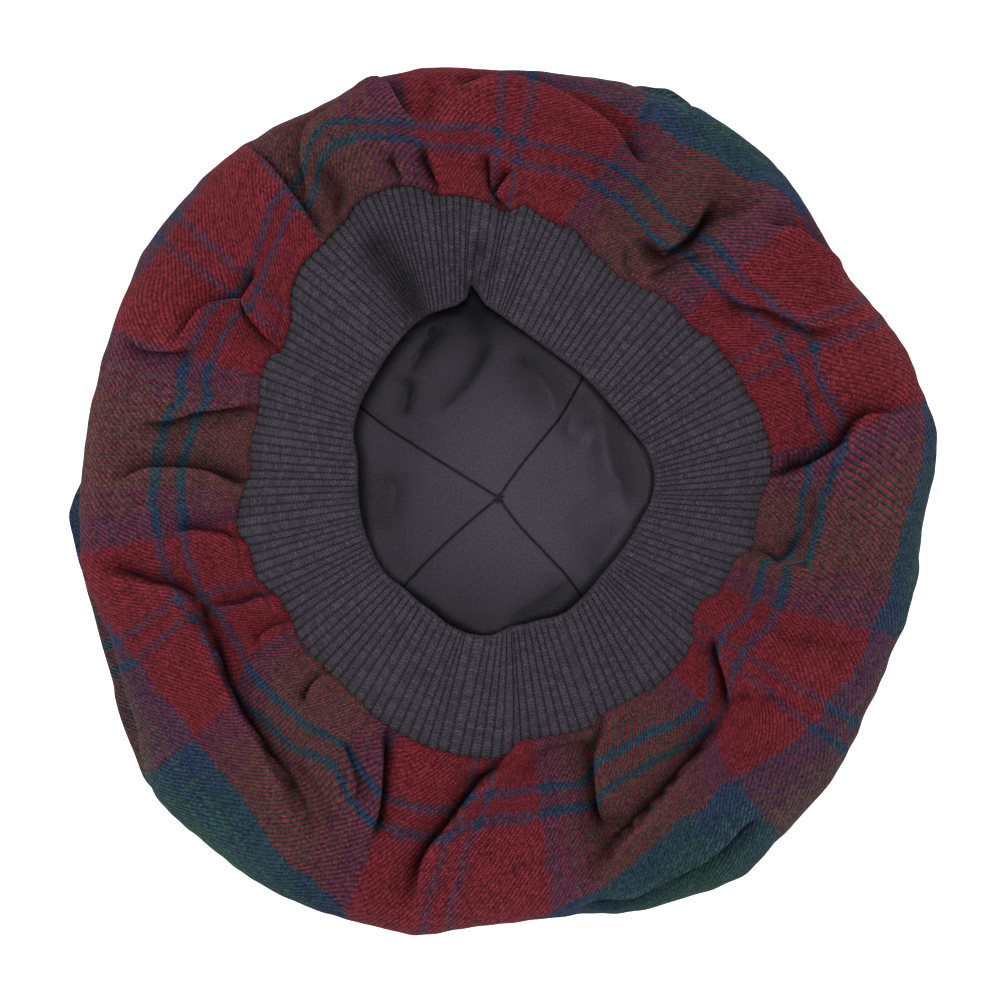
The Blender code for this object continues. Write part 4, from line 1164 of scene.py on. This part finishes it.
def make_tack(material):
    """A small crossed knot of thread at the lining's centre."""
    low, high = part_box("lining_tack")
    centre = [(a + b) * 0.5 for a, b in zip(low, high)]
    verts, faces = [], []
    for turn, reach, lift in STRANDS:
        direction = polar(1.0, turn, 0.0)
        side = np.array([-direction[1], direction[0], 0.0])
        first = len(verts)
        for t in np.linspace(-1.0, 1.0, STRAND_STEPS):
            thick = STRAND_RADIUS * math.sqrt(max(1.0 - t ** 4, 0.02))
            middle = direction * t * TACK_RADIUS * reach
            middle[2] += (lift + STRAND_ARCH * (1.0 - t * t)) * MM
            for a in np.linspace(0.0, 2.0 * math.pi, STRAND_SIDES, endpoint=False):
                verts.append(middle + side * thick * math.cos(a)
                             + np.array([0.0, 0.0, thick * math.sin(a)]))
        faces.append(grid_triangles(STRAND_STEPS, STRAND_SIDES, first, True, flip=True))
        last = first + (STRAND_STEPS - 1) * STRAND_SIDES
        faces.append([(first, first + a, first + a + 1) for a in range(1, STRAND_SIDES - 1)])
        faces.append([(last, last + a + 1, last + a) for a in range(1, STRAND_SIDES - 1)])
    x, y = centre[0] + PLAN_SHIFT[0], centre[1] + PLAN_SHIFT[1]
    lift = float(lining_lift(np.array([x]), np.array([y]))[0][0])
    rest = LINING_LOW[0][1] * MM + LINING_CLOTH + LINING_REST - LINING_PUFF + lift
    build("tack_knot", np.array(verts) + (x, y, rest), np.concatenate(faces), material,
          nodes=["lining_tack"])


# ---- materials -------------------------------------------------------------------
SPECULAR = 0.06
SHEEN_ROUGHNESS = 0.6


class Nodes:
    """Short calls for building a material's node tree."""

    def __init__(self, name):
        self.material = bpy.data.materials.new(name)
        self.material.use_nodes = True
        self.tree = self.material.node_tree
        self.shader = self.tree.nodes["Principled BSDF"]

    def new(self, kind):
        return self.tree.nodes.new("ShaderNode" + kind)

    def put(self, socket, value):
        if isinstance(value, bpy.types.NodeSocket):
            self.tree.links.new(value, socket)
        else:
            socket.default_value = value

    def math(self, operation, a, b=0.0, c=0.0):
        node = self.new("Math")
        node.operation = operation
        for socket, value in zip(node.inputs, (a, b, c)):
            self.put(socket, value)
        return node.outputs[0]

    def plus(self, a, b):
        return self.math("ADD", a, b)

    def minus(self, a, b):
        return self.math("SUBTRACT", a, b)

    def over(self, a, b):
        return self.math("DIVIDE", a, b)

    def whole(self, a):
        return self.math("FLOOR", a)

    def times(self, first, *others):
        for other in others:
            first = self.math("MULTIPLY", first, other)
        return first

    def scaled(self, value, low, high):
        """A 0 to 1 value spread from low to high."""
        return self.math("MULTIPLY_ADD", value, high - low, low)

    def between(self, share, low, high):
        """From low at share 0 to high at share 1."""
        return self.math("MULTIPLY_ADD", self.minus(high, low), share, low)

    def arch(self, value, power):
        """1 in the middle of a 0 to 1 value, and 0 at both ends."""
        return self.minus(1.0, self.math(
            "POWER", self.math("ABSOLUTE", self.scaled(value, -1.0, 1.0)), power))

    def layer(self, name):
        """A UV layer of the mesh, with its two parts."""
        node = self.new("UVMap")
        node.uv_map = name
        split = self.new("SeparateXYZ")
        self.put(split.inputs[0], node.outputs["UV"])
        return node.outputs["UV"], split.outputs[0], split.outputs[1]

    def shade(self):
        """Painted shade and light laid with the mesh, as in a crease: a share of the colour kept.
        """
        return self.layer("shade")[1]

    def place(self):
        return self.new("TexCoord").outputs["Object"]

    def shifted(self, vector, by):
        node = self.new("VectorMath")
        self.put(node.inputs[0], vector)
        self.put(node.inputs[1], (by, by, by))
        return node.outputs[0]

    def noise(self, vector, kind):
        """One of the noises of a cloth: as it is, and spread between its two values."""
        node = self.new("TexNoise")
        for name, value in zip(("Vector", "Scale", "Detail", "Roughness"), (vector, *kind)):
            self.put(node.inputs[name], value)
        return node.outputs["Fac"], self.scaled(node.outputs["Fac"], *kind[3:])

    def chance(self, a, b):
        """An even random number for each whole a and b."""
        join = self.new("CombineXYZ")
        self.put(join.inputs[0], a)
        self.put(join.inputs[1], b)
        node = self.new("TexWhiteNoise")
        node.noise_dimensions = "2D"
        self.put(node.inputs["Vector"], join.outputs[0])
        return node.outputs["Value"]

    def stripes(self, value, stops):
        node = self.new("ValToRGB")
        node.color_ramp.interpolation = "CONSTANT"
        points = node.color_ramp.elements
        while len(points) < len(stops):
            points.new(0.5)
        for point, (place, colour) in zip(points, stops):
            point.position = place
            point.color = (*colour, 1.0)
        self.put(node.inputs[0], value)
        return node.outputs[0]

    def mix(self, share, a, b, blend="MIX"):
        node = self.new("Mix")
        node.data_type = "RGBA"
        node.blend_type = blend
        self.put(node.inputs[0], share)
        for socket, value in ((node.inputs[6], a), (node.inputs[7], b)):
            self.put(socket, (*value, 1.0) if isinstance(value, tuple) else value)
        return node.outputs[2]

    def grey(self, value):
        join = self.new("CombineXYZ")
        for socket in join.inputs[:3]:
            self.put(socket, value)
        return join.outputs[0]

    def toned(self, colour, tone):
        return self.mix(1.0, colour, self.grey(tone), "MULTIPLY")

    def finish(self, colour, bump, distance, strength, roughness, sheen):
        node = self.new("Bump")
        for socket, value in (
                (node.inputs["Strength"], strength), (node.inputs["Distance"], distance),
                (node.inputs["Height"], bump), (self.shader.inputs["Normal"], node.outputs[0]),
                (self.shader.inputs["Base Color"], colour),
                (self.shader.inputs["Roughness"], roughness),
                (self.shader.inputs["Specular IOR Level"], SPECULAR),
                (self.shader.inputs["Sheen Weight"], sheen),
                (self.shader.inputs["Sheen Roughness"], SHEEN_ROUGHNESS)):
            self.put(socket, value)
        return self.material


RED = (0.0990, 0.0110, 0.0160)
NAVY = (0.0138, 0.0250, 0.0505)
GREEN = (0.0166, 0.0425, 0.0370)
KNIT = (0.0405, 0.0372, 0.0465)
LINING = (0.0845, 0.0797, 0.0962)
THREAD_COLOUR = (0.030, 0.028, 0.034)
# Bump distance, bump strength, roughness and sheen of each cloth.
TARTAN_FINISH = (0.26 * MM, 0.9, 0.95, 0.01)
KNIT_FINISH = (0.26 * MM, 0.8, 0.95, 0.02)
LINING_FINISH = (0.12 * MM, 0.6, 0.85, 0.02)
THREAD_FINISH = (0.15 * MM, 0.7, 0.7, 0.02)

# Noises: scale, detail, roughness, lowest and highest value.
YARN_SWAY = (0.16, 2.0, 0.5, -0.9, 0.9)         # in threads
# uneven depth of the twill's grooves, in the bump and in their painted shade
TWILL_GROOVE_DEPTH_AND_SHADE = (0.5, 2.0, 0.5, 0.35, 1.15)
TWILL_FIBRES = (3.4, 3.0, 0.7, 0.15, 1.85)
TWILL_SPOTS = (1.1, 2.0, 0.6, 0.60, 1.40)
TWILL_BROAD = (28.0, 3.0, 0.55, 0.84, 1.16)
KNIT_SWAY = (160.0, 2.0, 0.5, -0.3, 0.3)        # in stitches
KNIT_FIBRES = (3000.0, 3.0, 0.7, 0.20, 1.80)
KNIT_MELANGE = (1300.0, 1.0, 0.5, 0.20, 1.80)
KNIT_BROAD = (30.0, 2.0, 0.5, 0.90, 1.10)
LINING_FIBRES = (3.0, 3.0, 0.7, 0.20, 1.80)
LINING_SLUBS = (1.2, 2.0, 0.6, 0.55, 1.45)
LINING_BROAD = (36.0, 3.0, 0.5, 0.92, 1.08)
THREAD_FIBRES = (3000.0, 2.0, 0.6, 0.6, 1.4)
THREAD_TWIST = (900.0, 1.0, 0.5, 0.7, 1.3)

# Tones, lowest and highest share of the colour kept: random ones, or painted shade and light on
# the cloth's relief.
YARN_TONE = (0.84, 1.16)            # from yarn to yarn
YARN_RELIEF_SHADE = (0.12, 1.50)          # painted shade on the side of a twill's yarn, painted light on its top
TWILL_GROOVE_SHADE = (0.26, 1.27)          # painted shade in a groove's dark line, painted light in a twill rib's middle
FLOAT_TONE = (0.55, 1.45)           # from one float to the next
STITCH_TONE = (0.80, 1.20)
# painted shade between a rib's stitches, painted light on their middles
STITCH_RELIEF_SHADE = (0.78, 1.10)
LINING_YARN = (0.95, 1.05)
# painted shade on the sides of the lining's threads, painted light on their tops
LINING_RELIEF_SHADE = (0.62, 1.14)

TWILL = 4.0                         # threads in a repeat of the weave
TWILL_LINE = 1.0                    # place of the dark line in each repeat
TWILL_WIDTH = 1.15                  # half its width, in threads
RADIAL_SEEN = (0.04, 0.88)          # share of the radial yarn's colour, under and on top
FLOAT_END = (0.40, 1.0)             # height of a float's ends and of its middle
RIB_STEP = 3.0                      # how far a colour's edge steps at each rib, in threads
RIB_UNEVEN = 2.6                    # how unevenly it does, in threads
RIB_PATCH = 14.0                    # length of rib that steps alike, in threads
STITCH = 1.25                       # height of a knitted stitch, mm
STITCH_LEAN = 1.5                   # how far a V's legs rise from its middle, in stitches
KNIT_GROOVE = 0.66                  # light lost between two ribs
KNIT_CENTRE = 0.14                  # light lost along a rib's middle
KNIT_CENTRE_DEEP = 0.4              # depth of that line, in bump heights
LINING_THREAD = 0.42                # mm


def tartan_yarns(n, exact, index, step):
    """Colours of the two yarns, from each one's place in the sett."""
    colours = {"red": RED, "navy": NAVY, "green": GREEN}
    stops, place = [], 0
    for name, count in SETT:
        stops.append((place / HALF_SETT, colours[name]))
        place += count
    yarns = []
    for side, number, seed in zip(exact, index, (0.0, 7.0)):
        place = n.math("PINGPONG", n.plus(side, step), float(HALF_SETT))
        colour = n.stripes(n.over(place, float(HALF_SETT)), stops)
        yarns.append(n.toned(colour, n.scaled(n.chance(number, seed), *YARN_TONE)))
    return yarns


def twill_height(n, across, diagonal, on_top):
    """Height of the yarn on top: rounded across, and along its float over two others."""
    runs = (n.times(n.plus(diagonal, across[1]), 0.5),
            n.times(n.plus(n.minus(diagonal, 2.0), across[0]), 0.5))
    heights = []
    for side, run in zip(across, runs):
        rounded = n.math("SQRT", n.math("MAXIMUM", n.arch(side, 2.4), 0.0))
        heights.append(n.times(rounded, n.scaled(n.arch(run, 3.0), *FLOAT_END)))
    return n.between(on_top, heights[1], heights[0])


def tartan_material():
    """Two-over-two twill: yarns that run from rim to band (i) and round the hat (j)."""
    n = Nodes("tartan_wool_look")
    uv, u, v = n.layer("cloth")
    sways = (n.noise(uv, YARN_SWAY)[1], n.noise(n.shifted(uv, 31.0), YARN_SWAY)[1])
    exact = [n.plus(n.over(side, THREAD / MM), sway) for side, sway in zip((u, v), sways)]
    i, j = index = [n.whole(side) for side in exact]
    across = [n.minus(side, number) for side, number in zip(exact, index)]
    diagonal_exact = n.plus(*exact)
    # a colour ends square to each twill rib, so that its edge is a row of small steps
    ribs = n.over(n.minus(diagonal_exact, TWILL_LINE), TWILL)
    step = n.scaled(n.math("FRACT", ribs), 0.5 * RIB_STEP, -0.5 * RIB_STEP)
    patch = n.whole(n.over(n.minus(*exact), RIB_PATCH))
    uneven = n.chance(n.whole(ribs), patch)
    step = n.plus(step, n.scaled(uneven, -0.5 * RIB_UNEVEN, 0.5 * RIB_UNEVEN))
    yarns = tartan_yarns(n, exact, index, step)
    total = n.plus(i, j)
    diagonal = n.math("FLOORED_MODULO", total, TWILL)
    on_top = n.math("LESS_THAN", diagonal, 1.5)
    height = twill_height(n, across, diagonal, on_top)
    colour = n.mix(n.scaled(on_top, *RADIAL_SEEN), yarns[1], yarns[0])
    # the groove between one twill rib and the next, in the bump and as painted shade
    aside = n.math("ABSOLUTE", n.minus(n.math("FLOORED_MODULO", diagonal_exact, TWILL),
                                       TWILL_LINE))
    groove = n.math("MAXIMUM", n.minus(1.0, n.over(aside, TWILL_WIDTH)), 0.0)
    rib = n.minus(1.0, n.times(groove, n.noise(uv, TWILL_GROOVE_DEPTH_AND_SHADE)[1]))
    group = n.whole(n.over(total, TWILL))
    float_tone = n.mix(on_top, n.grey(n.chance(j, group)), n.grey(n.chance(i, group)))
    fibres, fibre_tone = n.noise(uv, TWILL_FIBRES)
    # painted shade and light from the mesh, yarns and grooves, times random tone of floats and
    # fibres
    shade = n.times(n.shade(), n.scaled(height, *YARN_RELIEF_SHADE), n.scaled(rib, *TWILL_GROOVE_SHADE),
                    n.scaled(float_tone, *FLOAT_TONE), fibre_tone,
                    n.noise(uv, TWILL_SPOTS)[1], n.noise(n.place(), TWILL_BROAD)[1])
    bump = n.math("MULTIPLY_ADD", fibres, 0.5, n.times(height, rib))
    return n.finish(n.toned(colour, shade), bump, *TARTAN_FINISH)


def knit_material():
    """Ribs, each a column of V stitches."""
    n = Nodes("rib_knit_look")
    _, rib, along = n.layer("cloth")
    half = n.math("ABSOLUTE", n.minus(n.math("FRACT", rib), 0.5))
    stitch = n.plus(n.over(along, STITCH), n.times(half, STITCH_LEAN))
    stitch = n.plus(stitch, n.noise(n.place(), KNIT_SWAY)[1])
    yarn = n.arch(n.math("FRACT", stitch), 2.2)
    groove = n.math("POWER", n.times(half, 2.0), 6.0)
    centre = n.math("POWER", n.minus(1.0, n.times(half, 2.0)), 8.0)
    tone = n.chance(n.whole(stitch), n.whole(rib))
    fibres, fibre_tone = n.noise(n.place(), KNIT_FIBRES)
    # painted shade and light from ribs, stitches and the mesh, times random tone of stitches and
    # fibres
    shade = n.times(n.minus(1.0, n.times(groove, KNIT_GROOVE)), n.shade(),
                    n.minus(1.0, n.times(centre, KNIT_CENTRE)), n.scaled(yarn, *STITCH_RELIEF_SHADE),
                    n.scaled(tone, *STITCH_TONE), fibre_tone,
                    n.noise(n.place(), KNIT_MELANGE)[1], n.noise(n.place(), KNIT_BROAD)[1])
    bump = n.minus(yarn, n.times(centre, KNIT_CENTRE_DEEP))
    bump = n.math("MULTIPLY_ADD", fibres, 0.5, bump)
    return n.finish(n.toned(KNIT, shade), bump, *KNIT_FINISH)


def lining_material():
    """Plain weave."""
    n = Nodes("lining_cotton_look")
    uv, u, v = n.layer("cloth")
    exact = [n.over(side, LINING_THREAD) for side in (u, v)]
    index = [n.whole(side) for side in exact]
    on_top = n.math("FLOORED_MODULO", n.plus(*index), 2.0)
    rounds = [n.arch(n.math("FRACT", side), 2.0) for side in exact]
    tones = [n.scaled(n.chance(number, seed), *LINING_YARN)
             for number, seed in zip(index, (3.0, 5.0))]
    height = n.between(on_top, rounds[1], rounds[0])
    fibres, fibre_tone = n.noise(uv, LINING_FIBRES)
    # painted shade and light from the weave and the mesh, times random tone of threads and fibres
    shade = n.times(n.between(on_top, tones[1], tones[0]), n.scaled(height, *LINING_RELIEF_SHADE),
                    n.shade(), fibre_tone, n.noise(uv, LINING_SLUBS)[1],
                    n.noise(n.place(), LINING_BROAD)[1])
    bump = n.math("MULTIPLY_ADD", fibres, 0.3, height)
    return n.finish(n.toned(LINING, shade), bump, *LINING_FINISH)


def thread_material():
    n = Nodes("tack_thread_look")
    fibres, fibre_tone = n.noise(n.place(), THREAD_FIBRES)
    # random tone of the thread's fibres and twist
    shade = n.times(fibre_tone, n.noise(n.place(), THREAD_TWIST)[1])
    return n.finish(n.toned(THREAD_COLOUR, shade), fibres, *THREAD_FINISH)


# ---- floor, light and camera -----------------------------------------------------
PHOTO_SIDE = 1000                   # pixels
PHOTO_PIXEL = 0.325 * MM            # size of one of the photograph's pixels
VIEW_HEIGHT = 30 * MM               # the height at which that holds
CAMERA_DISTANCE = 5.0
FARTHEST_SEEN = 20.0
SENSOR = 36.0                       # millimetres
PHOTO_CENTRE = (-0.88 * MM, 0.36 * MM)
# Wide soft lamps: name, bearing and height in degrees, power.
LAMPS = (("left_lamp", 168.0, 58.0, 1.6), ("right_lamp", 8.0, 58.0, 1.1))
LAMP_SIZE = 40.0
ROOM_LIGHT = 0.58
WHITE = (1.0, 1.0, 1.0, 1.0)
FLOOR_HALF = 6.0
FLOOR_DROP = 0.2 * MM               # how far the floor lies under the hat
FLOOR_LOOK = {"Base Color": (0.9, 0.9, 0.9, 1.0), "Roughness": 0.9, "Specular IOR Level": 0.1,
              "Emission Color": WHITE, "Emission Strength": 0.9}


def make_floor():
    material = bpy.data.materials.new("pale_floor")
    material.use_nodes = True
    for name, value in FLOOR_LOOK.items():
        material.node_tree.nodes["Principled BSDF"].inputs[name].default_value = value
    far = FLOOR_HALF
    mesh = bpy.data.meshes.new("floor")
    mesh.from_pydata([(-far, -far, 0), (far, -far, 0), (far, far, 0), (-far, far, 0)], [],
                     [(0, 1, 2, 3)])
    mesh.materials.append(material)
    obj = bpy.data.objects.new("floor", mesh)
    obj.location.z = -FLOOR_DROP
    bpy.context.scene.collection.objects.link(obj)


def make_light():
    scene = bpy.context.scene
    scene.world = bpy.data.worlds.new("soft_room")
    scene.world.use_nodes = True
    back = scene.world.node_tree.nodes["Background"]
    back.inputs["Color"].default_value = WHITE
    back.inputs["Strength"].default_value = ROOM_LIGHT
    for name, lamp_bearing, height, power in LAMPS:
        lamp = bpy.data.lights.new(name, "SUN")
        lamp.energy = power
        lamp.angle = math.radians(LAMP_SIZE)
        obj = bpy.data.objects.new(name, lamp)
        # a lamp shines down; leaned over, it shines from its bearing
        obj.rotation_euler = (0.0, math.radians(90.0 - height), math.radians(lamp_bearing))
        scene.collection.objects.link(obj)
    scene.view_settings.view_transform = "Standard"


def make_camera():
    scene = bpy.context.scene
    camera = bpy.data.cameras.new("camera")
    camera.sensor_width = SENSOR
    camera.lens = SENSOR * CAMERA_DISTANCE / (PHOTO_SIDE * PHOTO_PIXEL)
    camera.clip_end = FARTHEST_SEEN
    obj = bpy.data.objects.new("camera", camera)
    obj.location = (PHOTO_CENTRE[0] - PLAN_SHIFT[0], PHOTO_CENTRE[1] - PLAN_SHIFT[1],
                    VIEW_HEIGHT + CAMERA_DISTANCE)
    scene.collection.objects.link(obj)
    scene.camera = obj


make_camera()
make_floor()
make_light()
make_crown(tartan_material())
make_band(knit_material())
make_lining(lining_material())
make_tack(thread_material())

bpy.context.view_layer.update()
